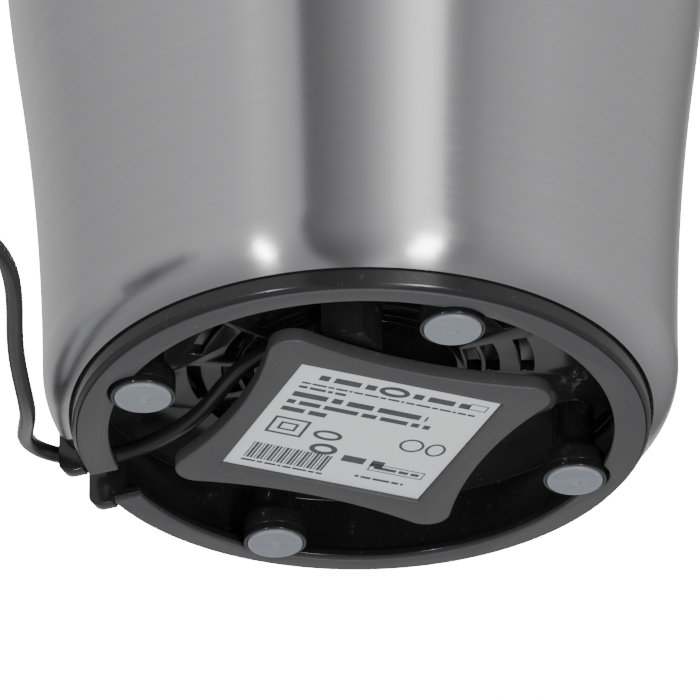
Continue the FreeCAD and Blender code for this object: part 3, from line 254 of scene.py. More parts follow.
def build_world():
    tree = world.node_tree
    tree.nodes.clear()
    add = tree.nodes.new
    link = tree.links.new
    place = add("ShaderNodeTexCoord")
    parts = add("ShaderNodeSeparateXYZ")
    link(place.outputs["Generated"], parts.inputs[0])
    back = add("ShaderNodeMath")
    back.operation = "MULTIPLY"
    back.inputs[1].default_value = -1
    link(parts.outputs["Y"], back.inputs[0])
    bearing = add("ShaderNodeMath")
    bearing.operation = "ARCTAN2"
    link(parts.outputs["X"], bearing.inputs[0])
    link(back.outputs[0], bearing.inputs[1])
    share = add("ShaderNodeMapRange")
    share.inputs["From Min"].default_value = -math.pi
    share.inputs["From Max"].default_value = math.pi
    link(bearing.outputs[0], share.inputs["Value"])
    ramp = add("ShaderNodeValToRGB")
    ramp.color_ramp.elements[0].position = 0.0
    ramp.color_ramp.elements[1].position = 1.0
    for element, (angle, bright) in zip(ramp.color_ramp.elements, (ROOM[0], ROOM[-1])):
        element.color = (bright, bright, bright, 1)
    for angle, bright in ROOM[1:-1]:
        element = ramp.color_ramp.elements.new((angle + 180) / 360)
        element.color = (bright, bright, bright * 1.01, 1)
    link(share.outputs["Result"], ramp.inputs["Fac"])
    height = add("ShaderNodeMapRange")
    height.inputs["From Min"].default_value = -0.75
    height.inputs["From Max"].default_value = -0.15
    height.inputs["To Min"].default_value = ROOM_BELOW
    height.inputs["To Max"].default_value = 1.0
    link(parts.outputs["Z"], height.inputs["Value"])
    room = add("ShaderNodeBackground")
    link(ramp.outputs["Color"], room.inputs["Color"])
    link(height.outputs["Result"], room.inputs["Strength"])
    seen = add("ShaderNodeBackground")
    seen.inputs["Color"].default_value = (1, 1, 1, 1)
    seen.inputs["Strength"].default_value = WHITE_BACKDROP
    path = add("ShaderNodeLightPath")
    either = add("ShaderNodeMixShader")
    link(path.outputs["Is Camera Ray"], either.inputs["Fac"])
    link(room.outputs[0], either.inputs[1])
    link(seen.outputs[0], either.inputs[2])
    link(either.outputs[0], add("ShaderNodeOutputWorld").inputs["Surface"])


build_world()
print("world ramp has", len(ROOM), "bearings")

# %% [markdown]
# The floor is a pale disc that the feet stand on. The camera looks up through it, so its
# material shows only to rays that come from above: Backfacing and Is Camera Ray decide
# between a plain pale surface and a clear one, and light from below passes through.

# %% Floor
FLOOR_RADIUS = 1400


def build_floor():
    bm = bmesh.new()
    bmesh.ops.create_circle(bm, cap_ends=True, segments=96, radius=FLOOR_RADIUS * MM)
    data = bpy.data.meshes.new("floor")
    bm.to_mesh(data)
    bm.free()
    floor = bpy.data.objects.new("floor", data)
    bpy.context.scene.collection.objects.link(floor)
    material = bpy.data.materials.new("pale_floor")
    material.use_nodes = True
    tree = material.node_tree
    tree.nodes.clear()
    add, link = tree.nodes.new, tree.links.new
    pale = add("ShaderNodeBsdfDiffuse")
    pale.inputs["Color"].default_value = (0.86, 0.86, 0.85, 1)
    clear = add("ShaderNodeBsdfTransparent")
    side = add("ShaderNodeNewGeometry")
    path = add("ShaderNodeLightPath")
    front = add("ShaderNodeMath")
    front.operation = "SUBTRACT"
    front.use_clamp = True
    link(path.outputs["Is Camera Ray"], front.inputs[0])
    link(side.outputs["Backfacing"], front.inputs[1])
    either = add("ShaderNodeMixShader")
    link(front.outputs[0], either.inputs["Fac"])
    link(clear.outputs[0], either.inputs[1])
    link(pale.outputs[0], either.inputs[2])
    link(either.outputs[0], add("ShaderNodeOutputMaterial").inputs["Surface"])
    data.materials.append(material)
    return floor


floor = build_floor()
print("floor faces up:", floor.data.polygons[0].normal.z > 0)

# %% [markdown]
# Soft area lights fill in what the room leaves dark. Two narrow ones, left and right, make the
# highlights on the lower curve of the steel. Two wide ones, below and above, light the base
# with its label and the upper pieces. The wide ones aren't mirrored in glossy surfaces, because
# they would show there as pale patches.

# %% Lights
def softbox(name, bearing, rise, distance, width, tall, watts, mirrored=True):
    """Rectangular light at a bearing from -Y towards +X and a rise above the horizon."""
    data = bpy.data.lights.new(name, "AREA")
    data.shape = "RECTANGLE"
    data.size, data.size_y = width * MM, tall * MM
    data.energy = watts
    light = bpy.data.objects.new(name, data)
    bpy.context.scene.collection.objects.link(light)
    turn, up = math.radians(bearing), math.radians(rise)
    way = Vector((math.sin(turn) * math.cos(up), -math.cos(turn) * math.cos(up), math.sin(up)))
    light.location = way * distance * MM
    light.rotation_euler = way.to_track_quat("Z", "Y").to_euler()
    light.visible_glossy = mirrored
    return light


softbox("key_right", 25, -34, 900, 100, 420, 3.0)
softbox("key_left", -34.5, -30, 900, 26, 300, 1.9)
softbox("fill_below", 0, -80, 1200, 700, 700, 7.6, mirrored=False)
softbox("top_light", 30, 60, 1300, 900, 900, 14.0, mirrored=False)

# %% [markdown]
# ## Finishes
# What several finishes share is built once as a node group: the fine grain of moulded
# plastic, the lines that a brushing belt leaves round the steel, and wear and dust.
# A group puts out only values and normals; the shader itself stays in each material.

# %% Node groups
def new_group(name, inputs, outputs):
    """Node group with float inputs (name, value) and outputs (name, socket type)."""
    group = bpy.data.node_groups.new(name, "ShaderNodeTree")
    for label, value in inputs:
        socket = group.interface.new_socket(label, in_out="INPUT", socket_type="NodeSocketFloat")
        socket.default_value = value
    for label, kind in outputs:
        group.interface.new_socket(label, in_out="OUTPUT", socket_type=kind)
    return group, group.nodes.new("NodeGroupInput"), group.nodes.new("NodeGroupOutput")


def math_node(group, operation, first, second=0.0):
    """Math node whose inputs are sockets or numbers; returns its output."""
    node = group.nodes.new("ShaderNodeMath")
    node.operation = operation
    for socket, value in zip(node.inputs, (first, second)):
        if isinstance(value, (int, float)):
            socket.default_value = value
        else:
            group.links.new(value, socket)
    return node.outputs[0]


def noise_node(group, vector, scale, detail=3.0, roughness=0.5):
    node = group.nodes.new("ShaderNodeTexNoise")
    node.inputs["Detail"].default_value = detail
    node.inputs["Roughness"].default_value = roughness
    group.links.new(vector, node.inputs["Vector"])
    if isinstance(scale, (int, float)):
        node.inputs["Scale"].default_value = scale
    else:
        group.links.new(scale, node.inputs["Scale"])
    return node.outputs["Fac"]


def moulded_grain():
    """Fine pebble of a moulded surface, and slow unevenness of its gloss."""
    group, given, out = new_group("moulded_grain", [("Grain", 2600.0), ("Drift", 40.0)],
                                  [("Height", "NodeSocketFloat"), ("Gloss", "NodeSocketFloat")])
    place = group.nodes.new("ShaderNodeTexCoord").outputs["Object"]
    group.links.new(noise_node(group, place, given.outputs["Grain"], 2.0), out.inputs["Height"])
    group.links.new(noise_node(group, place, given.outputs["Drift"], 4.0), out.inputs["Gloss"])
    return group


def brushing():
    """Lines that run round the Z axis: noise that is long along the turn and fine across it."""
    group, given, out = new_group("brushing", [("Lines", 9000.0), ("Length", 6.0)],
                                  [("Height", "NodeSocketFloat"), ("Streak", "NodeSocketFloat")])
    place = group.nodes.new("ShaderNodeTexCoord").outputs["Object"]
    parts = group.nodes.new("ShaderNodeSeparateXYZ")
    group.links.new(place, parts.inputs[0])
    far = math_node(group, "SQRT", math_node(
        group, "ADD", math_node(group, "MULTIPLY", parts.outputs["X"], parts.outputs["X"]),
        math_node(group, "MULTIPLY", parts.outputs["Y"], parts.outputs["Y"])))
    level = group.nodes.new("ShaderNodeCombineXYZ")
    for socket, part in (("X", "X"), ("Y", "Y")):
        flat = math_node(group, "DIVIDE", parts.outputs[part], far)
        group.links.new(math_node(group, "MULTIPLY", flat, given.outputs["Length"]),
                        level.inputs[socket])
    along = math_node(group, "ADD", parts.outputs["Z"], far)
    group.links.new(math_node(group, "MULTIPLY", along, given.outputs["Lines"]), level.inputs["Z"])
    lines = noise_node(group, level.outputs[0], 1.0, 4.0, 0.65)
    group.links.new(lines, out.inputs["Height"])
    coarse = noise_node(group, level.outputs[0], 0.13, 3.0, 0.6)
    group.links.new(math_node(group, "MULTIPLY", math_node(group, "ADD", lines, coarse), 0.5),
                    out.inputs["Streak"])
    return group


def settled_dust():
    """Specks and faint clouds, as left by handling."""
    group, given, out = new_group("settled_dust", [("Amount", 0.3), ("Specks", 900.0)],
                                  [("Mask", "NodeSocketFloat")])
    place = group.nodes.new("ShaderNodeTexCoord").outputs["Object"]
    specks = noise_node(group, place, given.outputs["Specks"], 2.0, 0.7)
    clouds = noise_node(group, place, 55.0, 4.0, 0.6)
    sharp = group.nodes.new("ShaderNodeMapRange")
    sharp.inputs["From Min"].default_value = 0.64
    sharp.inputs["From Max"].default_value = 0.74
    group.links.new(specks, sharp.inputs["Value"])
    both = math_node(group, "MULTIPLY", sharp.outputs["Result"], clouds)
    group.links.new(math_node(group, "MULTIPLY", both, given.outputs["Amount"]), out.inputs["Mask"])
    return group


GRAIN, BRUSHING, DUST = moulded_grain(), brushing(), settled_dust()
print("groups:", GRAIN.name, BRUSHING.name, DUST.name)

# %% [markdown]
# A finish starts from numbers on the Principled shader's own sockets. A small function makes
# the material, and others add grain, brushing or dust where the real surface shows it.

# %% Building a finish
class Finish:
    """A material under construction: its tree, its shader, and what has been joined so far."""

    def __init__(self, name, colour, roughness, **constants):
        self.material = bpy.data.materials.new(name)
        self.material.use_nodes = True
        self.tree = self.material.node_tree
        self.shader = self.tree.nodes["Principled BSDF"]
        self.colour = colour
        self.roughness = roughness
        self.set("Base Color", (*colour, 1))
        self.set("Roughness", roughness)
        for label, value in constants.items():
            self.set(label.replace("_", " "), value)

    def set(self, label, value):
        self.shader.inputs[label].default_value = value

    def use(self, group, **values):
        node = self.tree.nodes.new("ShaderNodeGroup")
        node.node_tree = group
        for label, value in values.items():
            node.inputs[label].default_value = value
        return node

    def spread(self, value, low, high):
        """Stretches a value from 0.3..0.7, where noise mostly lies, to low..high."""
        node = self.tree.nodes.new("ShaderNodeMapRange")
        node.inputs["From Min"].default_value = 0.3
        node.inputs["From Max"].default_value = 0.7
        node.inputs["To Min"].default_value = low
        node.inputs["To Max"].default_value = high
        self.tree.links.new(value, node.inputs["Value"])
        return node.outputs["Result"]

    def blend(self, mask, other):
        """Base colour that goes to another one where the mask is 1."""
        node = self.tree.nodes.new("ShaderNodeMix")
        node.data_type = "RGBA"
        before = self.shader.inputs["Base Color"]
        if before.is_linked:
            self.tree.links.new(before.links[0].from_socket, node.inputs["A"])
        else:
            node.inputs["A"].default_value = before.default_value
        node.inputs["B"].default_value = (*other, 1)
        self.tree.links.new(mask, node.inputs["Factor"])
        self.tree.links.new(node.outputs["Result"], before)

    def bump(self, height, distance, strength=1.0):
        """Raises the surface by up to a distance in mm."""
        node = self.tree.nodes.new("ShaderNodeBump")
        node.inputs["Distance"].default_value = distance * MM
        node.inputs["Strength"].default_value = strength
        before = self.shader.inputs["Normal"]
        if before.is_linked:
            self.tree.links.new(before.links[0].from_socket, node.inputs["Normal"])
        self.tree.links.new(height, node.inputs["Height"])
        self.tree.links.new(node.outputs["Normal"], before)

    def grained(self, depth, grain=2600.0, gloss=0.06):
        """Moulded grain: bump, and a little change of roughness."""
        node = self.use(GRAIN, Grain=grain)
        self.bump(node.outputs["Height"], depth)
        varied = self.spread(node.outputs["Gloss"], self.roughness - gloss, self.roughness + gloss)
        self.tree.links.new(varied, self.shader.inputs["Roughness"])
        return self

    def dusted(self, amount, colour=(0.55, 0.55, 0.53)):
        node = self.use(DUST, Amount=amount)
        self.blend(node.outputs["Mask"], colour)
        return self

    def brushed(self, depth, shade=0.08, lines=9000.0, gloss=0.05):
        """Lines round the axis in colour, roughness and bump."""
        node = self.use(BRUSHING, Lines=lines)
        self.bump(node.outputs["Height"], depth)
        dark = tuple(value * (1 - shade * 2) for value in self.colour)
        self.blend(self.spread(node.outputs["Streak"], 1.0, 0.0), dark)
        varied = self.spread(node.outputs["Streak"], self.roughness + gloss, self.roughness - gloss)
        self.tree.links.new(varied, self.shader.inputs["Roughness"])
        return self

    def around_axis(self, amount):
        """Gloss drawn out across lines that run round the Z axis."""
        tangent = self.tree.nodes.new("ShaderNodeTangent")
        tangent.direction_type = "RADIAL"
        tangent.axis = "Z"
        self.tree.links.new(tangent.outputs[0], self.shader.inputs["Tangent"])
        self.set("Anisotropic", amount)
        self.set("Anisotropic Rotation", 0.25)
        return self


# %% [markdown]
# Every material slot of the record gets its finish here. Black moulded parts are glossy with
# a faint orange peel, the ring and the winding plate are fine-grained dark grey, and the
# casing is brushed round its axis.

# %% All finishes
FINISHES = {
    "steel": Finish("brushed_casing", (0.58, 0.58, 0.59), 0.21, Metallic=1.0)
    .brushed(0.0012, 0.03).around_axis(0.97),
    "black_gloss": Finish("black_gloss", (0.012, 0.012, 0.013), 0.20, Coat_Weight=0.25,
                          Coat_Roughness=0.08).grained(0.004, 700.0, 0.04).dusted(0.07),
    "grey_matte": Finish("grey_grained", (0.054, 0.054, 0.056), 0.50).grained(0.02).dusted(0.1),
    "label": Finish("label_sheet", (0.80, 0.81, 0.83), 0.34, Metallic=0.25).grained(0.002, 1500.0),
    "silicone": Finish("silicone", (0.21, 0.23, 0.26), 0.38, Subsurface_Weight=0.35,
                       Subsurface_Scale=0.003, Coat_Weight=0.2).grained(0.006, 1200.0),
    "black_rubber": Finish("black_rubber", (0.014, 0.014, 0.015), 0.55).grained(0.01).dusted(0.4),
    "screw_steel": Finish("zinc_plate", (0.62, 0.62, 0.60), 0.30, Metallic=1.0)
    .grained(0.004, 3000.0),
    "light_plastic": Finish("light_grey_plastic", (0.36, 0.36, 0.37), 0.45).grained(0.01),
    "inner_plastic": Finish("structural_plastic", (0.035, 0.035, 0.038), 0.48).grained(0.012),
    "bowl_steel": Finish("polished_bowl", (0.70, 0.70, 0.71), 0.17, Metallic=1.0)
    .brushed(0.001, 0.03, 5200.0).around_axis(0.5),
    "blade_steel": Finish("ground_steel", (0.66, 0.66, 0.67), 0.22, Metallic=1.0)
    .grained(0.002, 2200.0),
    "clear_lid": Finish("clear_lid", (0.90, 0.92, 0.93), 0.04, Transmission_Weight=1.0, IOR=1.49),
    "cast_zinc": Finish("die_cast", (0.50, 0.50, 0.51), 0.42, Metallic=1.0).grained(0.03, 900.0),
    "bronze": Finish("sintered_bronze", (0.50, 0.33, 0.17), 0.46, Metallic=1.0).grained(0.01),
    "lamination": Finish("laminations", (0.24, 0.24, 0.26), 0.42, Metallic=1.0)
    .brushed(0.02, 0.2, 1800.0),
    "copper": Finish("enamelled_copper", (0.55, 0.22, 0.09), 0.30, Metallic=0.9, Coat_Weight=0.5)
    .brushed(0.04, 0.2, 1500.0),
    "carbon": Finish("graphite", (0.03, 0.03, 0.032), 0.45, Metallic=0.3).grained(0.01),
    "shaft_steel": Finish("ground_shaft", (0.62, 0.62, 0.63), 0.16, Metallic=1.0)
    .brushed(0.001, 0.05, 4000.0),
    "fan_plastic": Finish("nylon", (0.68, 0.66, 0.60), 0.42, Subsurface_Weight=0.1).grained(0.01),
    "electric_plastic": Finish("electrical_plastic", (0.62, 0.56, 0.40), 0.40).grained(0.01),
    "cord_pvc": Finish("soft_pvc", (0.014, 0.014, 0.015), 0.30, Coat_Weight=0.15).grained(0.008, 900.0),
    "pin_brass": Finish("nickel_plate", (0.70, 0.67, 0.58), 0.20, Metallic=1.0).grained(0.002, 3000.0),
}
for entry in frame["record"]["subparts"]:
    skin = nodes[entry["node"]]
    skin.data.materials.clear()
    skin.data.materials.append(FINISHES[entry["material_slot"]].material)
mains_lead.data.materials.append(FINISHES["cord_pvc"].material)
print(len(FINISHES), "finishes on", len(nodes), "nodes")

# %% [markdown]
# ## Pieces turned on a lathe
# The casing and the feet are round. An outline is drawn in the plane through the axis, its
# straight parts by extruding the last vertex and its arcs by spinning that vertex about the
# arc's centre; one full spin about Z then turns the outline into a skin. A small class keeps
# the last vertex, so each outline reads like a pencil line.

# %% Drawing and turning an outline
class Outline:
    """Line in the XZ plane, in mm, that grows from its last point."""

    def __init__(self, x, z):
        self.bm = bmesh.new()
        self.last = self.bm.verts.new((x * MM, 0, z * MM))

    def line(self, x, z):
        grown = bmesh.ops.extrude_vert_indiv(self.bm, verts=[self.last])
        self.last = grown["verts"][0]
        self.last.co = (x * MM, 0, z * MM)
        return self

    def arc(self, centre, x, z, steps):
        middle = Vector((centre[0] * MM, 0, centre[1] * MM))
        here, there = self.last.co - middle, Vector((x * MM, 0, z * MM)) - middle
        angle = here.angle(there) * (1 if here.cross(there).y > 0 else -1)
        grown = bmesh.ops.spin(self.bm, geom=[self.last], cent=middle, axis=(0, 1, 0),
                               angle=angle, steps=steps)
        self.last = next(g for g in grown["geom_last"] if isinstance(g, bmesh.types.BMVert))
        return self

    def turned(self, steps=192):
        bmesh.ops.spin(self.bm, geom=self.bm.verts[:] + self.bm.edges[:], cent=(0, 0, 0),
                       axis=(0, 0, 1), angle=math.tau, steps=steps, use_merge=True)
        bmesh.ops.remove_doubles(self.bm, verts=self.bm.verts[:], dist=0.001 * MM)
        bmesh.ops.recalc_face_normals(self.bm, faces=self.bm.faces[:])
        return self.bm


def finished(bm, name, slot, *replaced, body="housing", crease=30.0):
    """Makes a piece of a bmesh: smooth faces, creased edges, its body, its nodes and its finish."""
    for face in bm.faces:
        face.smooth = True
    for edge in bm.edges:
        edge.smooth = len(edge.link_faces) == 2 and edge.calc_face_angle() < math.radians(crease)
    data = bpy.data.meshes.new(name)
    bm.to_mesh(data)
    bm.free()
    piece = bpy.data.objects.new(name, data)
    bpy.context.scene.collection.objects.link(piece)
    data.materials.append(FINISHES[slot].material)
    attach(piece, body)
    if replaced:
        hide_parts(*replaced)
    print(name, "has", len(data.polygons), "faces")
    return piece


# %% [markdown]
# The casing is one sheet of steel, 0.8 mm thick. From its lower edge it swells out in a tight
# toe, flares gently in a hollow curve, turns over to a full belly and ends in a lip that is
# folded in under the black collar. After the spin, three cuts open the arch over the cord
# slot, and the skin gets its thickness last, inwards.

# %% Steel casing
STEEL_THICK = 0.8
STEEL_TOP = top_of("housing_shell")
WAIST, WAIST_AT, FLARE, TURN_AT = 49.4, 6.0, 400.0, 66.0
LIP, TOE_AT = (45.3, 4.3), 12.0
BELLY_AT = STEEL_TOP - 21.0
LIP_BEND, LIP_IN = 0.9, 2.5           # rounding of the top edge, and its folded-in lip
SLOT_ANGLE, ARCH_WIDE, ARCH_TOP = 158.5, 14.2, 12.3
ARCH_CORNER = 1.0


def casing():
    """Lower edge, toe arc, hollow flare, full belly and the lip under the collar."""
    flare_x = WAIST + FLARE

    def flare(z):
        return flare_x - math.sqrt(FLARE ** 2 - (z - WAIST_AT) ** 2)

    toe, turn = (flare(TOE_AT), TOE_AT), (flare(TURN_AT), TURN_AT)
    inward = Vector((flare_x - toe[0], WAIST_AT - toe[1])).normalized()
    reach = Vector(toe) - Vector(LIP)
    toe_bend = reach.length_squared / (2 * reach.dot(inward))
    toe_centre = Vector(toe) - inward * toe_bend
    belly = (BELLY_AT - TURN_AT) * FLARE / (TURN_AT - WAIST_AT)
    belly_x = turn[0] - (flare_x - turn[0]) * belly / FLARE
    edge = belly_x + math.sqrt(belly ** 2 - (STEEL_TOP - BELLY_AT) ** 2)
    line = Outline(*LIP).arc(toe_centre, *toe, 14).arc((flare_x, WAIST_AT), *turn, 20)
    line.arc((belly_x, BELLY_AT), edge, STEEL_TOP - LIP_BEND, 28)
    line.arc((edge - LIP_BEND, STEEL_TOP - LIP_BEND), edge - LIP_BEND, STEEL_TOP, 4)
    line.line(edge - LIP_IN, STEEL_TOP)
    bm = line.turned(240)
    out, side = polar(1, SLOT_ANGLE) / MM, polar(1, SLOT_ANGLE + 90) / MM
    half, up = ARCH_WIDE / 2, Vector((0, 0, 1))
    crown = up * ARCH_TOP
    for at, way in ((side * half, side), (-side * half, -side), (crown, up),
                    (side * (half - ARCH_CORNER) + crown, side + up),
                    (-side * (half - ARCH_CORNER) + crown, up - side)):
        bmesh.ops.bisect_plane(bm, geom=bm.verts[:] + bm.edges[:] + bm.faces[:], dist=0.001 * MM,
                               plane_co=at * MM, plane_no=way)
    # faces inside the arch go, but not those outside its two cut corners
    gone = []
    for face in bm.faces:
        middle = face.calc_center_median() / MM
        aside = abs(middle.dot(side))
        corner = aside + middle.z > half - ARCH_CORNER + ARCH_TOP
        if middle.dot(out) > 0 and aside < half and middle.z < ARCH_TOP and not corner:
            gone.append(face)
    bmesh.ops.delete(bm, geom=gone, context="FACES")
    bmesh.ops.solidify(bm, geom=bm.faces[:], thickness=STEEL_THICK * MM)
    return finished(bm, "steel_casing", "steel", "housing_shell", crease=50)


steel_casing = casing()
print("casing box in mm:", [round(x / MM, 2) for x in steel_casing.dimensions])

# %% [markdown]
# Each foot is a small silicone puck, flat underneath, with a rounded lower edge and the
# shallow dimple that its mould leaves in the middle. It is pressed into a black socket whose
# wall hides nearly all of its side. One outline is turned, and its copies go to the four feet.

# %% Feet and their sockets
FOOT_RADIUS, FOOT_TALL, FOOT_BEND = 4.4, 1.6, 0.35
FOOT_CIRCLE, FOOT_ANGLE = 36.1, 22.7
SOCKET_RADIUS, SOCKET_LOW, SOCKET_WALL = 4.98, 0.4, 0.5


def at_each_foot(line, name, slot, *replaced):
    one, whole = line.turned(48), bmesh.new()
    copy = bpy.data.meshes.new("one_of_four")
    one.to_mesh(copy)
    one.free()
    for count in range(4):
        known = set(whole.verts)
        whole.from_mesh(copy)
        new = [v for v in whole.verts if v not in known]
        bmesh.ops.translate(whole, verts=new, vec=polar(FOOT_CIRCLE, FOOT_ANGLE + 90 * count))
    return finished(whole, name, slot, *replaced, crease=60)


puck = Outline(0, 0.28).line(0.75, 0.28).arc((0.75, 0.0), 1.03, 0, 4)
puck.line(FOOT_RADIUS - FOOT_BEND, 0)
puck.arc((FOOT_RADIUS - FOOT_BEND, FOOT_BEND), FOOT_RADIUS, FOOT_BEND, 6)
puck.line(FOOT_RADIUS, FOOT_TALL).line(0, FOOT_TALL)
at_each_foot(puck, "silicone_feet", "silicone", "feet")

SOCKET_BEND, SOCKET_TOP = 0.15, FOOT_TALL + 0.1
inside, bend_at = SOCKET_RADIUS - SOCKET_WALL, SOCKET_LOW + SOCKET_BEND
socket = Outline(inside, FOOT_TALL).line(inside, bend_at)
socket.arc((inside + SOCKET_BEND, bend_at), inside + SOCKET_BEND, SOCKET_LOW, 3)
socket.line(SOCKET_RADIUS - SOCKET_BEND, SOCKET_LOW)
socket.arc((SOCKET_RADIUS - SOCKET_BEND, bend_at), SOCKET_RADIUS, bend_at, 3)
socket.line(SOCKET_RADIUS, SOCKET_TOP).line(inside, SOCKET_TOP).line(inside, FOOT_TALL)
at_each_foot(socket, "foot_sockets", "black_gloss")

# %% [markdown]
# ## Moulded pieces
# Moulded plastic never has a knife edge. Where the maker's drawing already has the right
# shape, a copy of its mesh is merged, cleaned of flat triangles, and gets a narrow bevel on
# every edge that turns by more than 30 degrees. The highlight on that bevel is what makes
# an edge look moulded.

# %% Softened copies
def softened(name, node, slot, width, body="housing", segments=2, turn=30.0):
    bm = bmesh.new()
    bm.from_mesh(nodes[node].data)
    bmesh.ops.remove_doubles(bm, verts=bm.verts[:], dist=0.002 * MM)
    bmesh.ops.dissolve_limit(bm, angle_limit=math.radians(0.6), use_dissolve_boundaries=False,
                             verts=bm.verts[:], edges=bm.edges[:])
    sharp = [edge for edge in bm.edges
             if len(edge.link_faces) == 2 and edge.calc_face_angle() > math.radians(turn)]
    bmesh.ops.bevel(bm, geom=sharp, offset=width * MM, offset_type="OFFSET", segments=segments,
                    profile=0.5, affect="EDGES", material=-1, clamp_overlap=False,
                    loop_slide=False, harden_normals=False)
    return finished(bm, name, slot, node, body=body, crease=50)


softened("ring_moulding", "base_ring", "grey_matte", 0.18)
softened("winding_plate_moulding", "winder_plate", "grey_matte", 0.35, segments=3)
softened("pan_moulding", "base_pan", "black_gloss", 0.16)
softened("collar_moulding", "collar", "black_gloss", 0.22)
softened("plug_moulding", "plug_body", "cord_pvc", 0.7, segments=3)

# %% [markdown]
# ## Print on the label
# The sheet under the winding plate is covered with small print. Here it is generic: rows of
# short dashes, empty frames, two round badges and a field of upright bars, each a thin box
# that stands 0.03 mm proud of the sheet. No letter or sign is drawn.

# %% Label print
LABEL_TURN, LABEL_HALF = 23.2, 16.55
LABEL_FACE = low_of("rating_label")
INK_THICK = 0.03
ROWS = [                              # left, right, height on the sheet from its middle, size
    (-12.4, -3.0, -13.2, 1.5), (3.2, 12.6, -13.2, 1.5), (-14.4, 14.4, -10.9, 0.5),
    (-14.4, -6.6, -9.6, 0.7), (-14.4, 8.0, -7.3, 1.5), (-14.4, 9.4, -4.9, 1.2),
    (-14.4, -7.0, -2.6, 1.3), (0.4, 7.4, 8.6, 1.9), (-14.2, -0.6, 14.6, 0.5),
    (6.2, 13.8, 9.7, 0.8), (4.4, 12.6, 13.2, 0.6),
]
FRAMES = [                            # middle, half width, half height, line
    (-11.2, 2.6, 3.0, 2.6, 0.5), (-11.2, 2.6, 1.5, 1.2, 0.45), (10.0, 9.7, 4.6, 1.1, 0.22),
    (13.9, -13.4, 1.5, 0.9, 0.2),
]
BADGES = [                            # middle, half width, half height, line
    (0.0, -13.2, 2.5, 1.5, 0.9), (-4.4, 3.0, 2.4, 1.5, 0.7), (-3.4, 7.2, 2.3, 1.7, 0.9),
    (9.0, 1.2, 2.0, 2.0, 0.45), (13.0, 1.2, 1.6, 2.0, 0.45),
]


def ink(bm, across, down, wide, tall):
    """One printed box, its middle given in the label's own directions."""
    box = bmesh.ops.create_cube(bm, size=1.0)["verts"]
    bmesh.ops.scale(bm, verts=box, vec=(wide * MM, tall * MM, INK_THICK * MM))
    bmesh.ops.translate(bm, verts=box, vec=(across * MM, down * MM, 0))


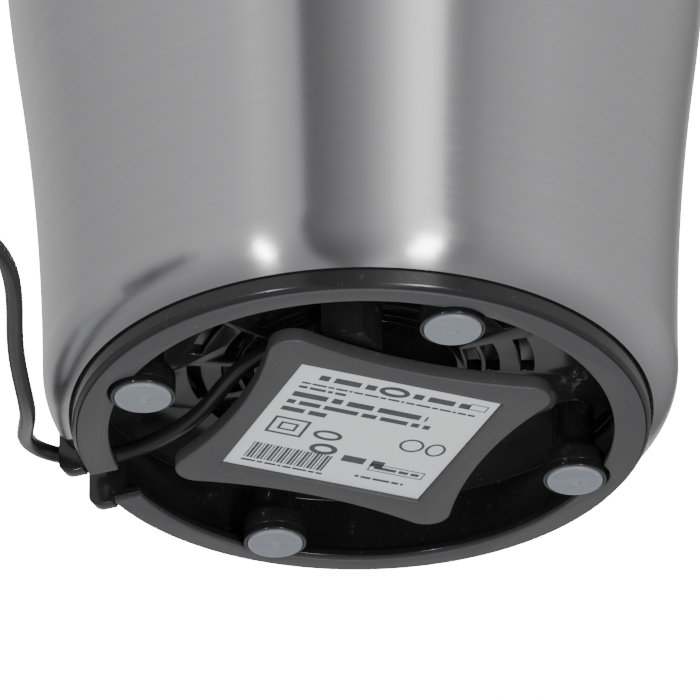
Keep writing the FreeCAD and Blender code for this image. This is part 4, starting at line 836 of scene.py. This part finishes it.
def label_print():
    bm = bmesh.new()
    for left, right, down, tall in ROWS:
        at, count = left, 0
        while at < right:
            wide = tall * (1.1 + 0.9 * ((count * 7 + round(down * 3)) % 5))
            wide = min(wide, right - at)
            ink(bm, at + wide / 2, down, wide, tall)
            at += wide + tall * 0.55
            count += 1
    for across, down, half_w, half_t, line in FRAMES:
        for side in (1, -1):
            ink(bm, across + side * (half_w - line / 2), down, line, 2 * half_t)
            ink(bm, across, down + side * (half_t - line / 2), 2 * half_w - 2 * line, line)
    for count in range(24):
        wide = 0.2 + 0.14 * ((count * 5) % 3)
        ink(bm, -14.1 + count * 0.56, 11.3, wide, 5.0)
    for across, down, half_w, half_t, line in BADGES:
        rims = []
        for shrink in (0, line):
            rim = bmesh.ops.create_circle(bm, segments=40, radius=1.0)["verts"]
            bmesh.ops.scale(bm, verts=rim, vec=((half_w - shrink) * MM, (half_t - shrink) * MM, 1))
            rims += rim
        loops = list({edge for v in rims for edge in v.link_edges})
        band = bmesh.ops.bridge_loops(bm, edges=loops)["faces"]
        grown = bmesh.ops.extrude_face_region(bm, geom=band)["geom"]
        upper = [g for g in grown if isinstance(g, bmesh.types.BMVert)]
        bmesh.ops.translate(bm, verts=upper, vec=(0, 0, INK_THICK * MM))
        bmesh.ops.translate(bm, verts=rims + upper,
                            vec=(across * MM, down * MM, -INK_THICK / 2 * MM))
    bmesh.ops.rotate(bm, verts=bm.verts[:], cent=(0, 0, 0),
                     matrix=Matrix.Rotation(math.radians(LABEL_TURN), 3, "Z"))
    bmesh.ops.translate(bm, verts=bm.verts[:],
                        vec=(0, 0, (LABEL_FACE - INK_THICK / 2) * MM))
    bmesh.ops.recalc_face_normals(bm, faces=bm.faces[:])
    return finished(bm, "label_print", "grey_matte")


label_print()

# %% [markdown]
# ## Tie round the coil
# A narrow band of soft rubber holds the put-away turns together. It is a rounded rectangle
# drawn across the bundle, given its width by an extrusion and its thickness by solidify.

# %% Coil tie
TIE_WIDE, TIE_THICK, TIE_BEND, TIE_AT = 5.0, 0.5, 1.5, 20.0    # the last one is an angle
TIE_HALF = 3.3 + CORD_THICK / 2       # half the width of the bundle that it goes round


def coil_tie():
    middle = COIL_OUTER - CORD_THICK * COLUMN_STEP
    low, high = TIE_THICK + 0.02, 3 * CORD_THICK + 0.55
    left, right = middle - TIE_HALF, middle + TIE_HALF
    bm = bmesh.new()
    corners = [(left, low), (right, low), (right, high), (left, high)]
    loop = [bm.verts.new((x * MM, -TIE_WIDE / 2 * MM, z * MM)) for x, z in corners]
    edges = [bm.edges.new((loop[i], loop[(i + 1) % 4])) for i in range(4)]
    grown = bmesh.ops.extrude_edge_only(bm, edges=edges)["geom"]
    bmesh.ops.translate(bm, verts=[g for g in grown if isinstance(g, bmesh.types.BMVert)],
                        vec=(0, TIE_WIDE * MM, 0))
    upright = [e for e in bm.edges if abs((e.verts[0].co - e.verts[1].co).y) > TIE_WIDE / 2 * MM]
    bmesh.ops.bevel(bm, geom=upright, offset=TIE_BEND * MM, offset_type="OFFSET", segments=6,
                    profile=0.5, affect="EDGES", material=-1)
    bmesh.ops.recalc_face_normals(bm, faces=bm.faces[:])
    bmesh.ops.solidify(bm, geom=bm.faces[:], thickness=-TIE_THICK * MM)
    bmesh.ops.rotate(bm, verts=bm.verts[:], cent=(0, 0, 0),
                     matrix=Matrix.Rotation(math.radians(TIE_AT), 3, "Z"))
    bmesh.ops.translate(bm, verts=bm.verts[:], vec=(COIL_MIDDLE.x * MM, COIL_MIDDLE.y * MM, 0))
    return finished(bm, "coil_tie", "black_rubber")


tie = coil_tie()

# %% Bring the scene up to date
bpy.context.view_layer.update()
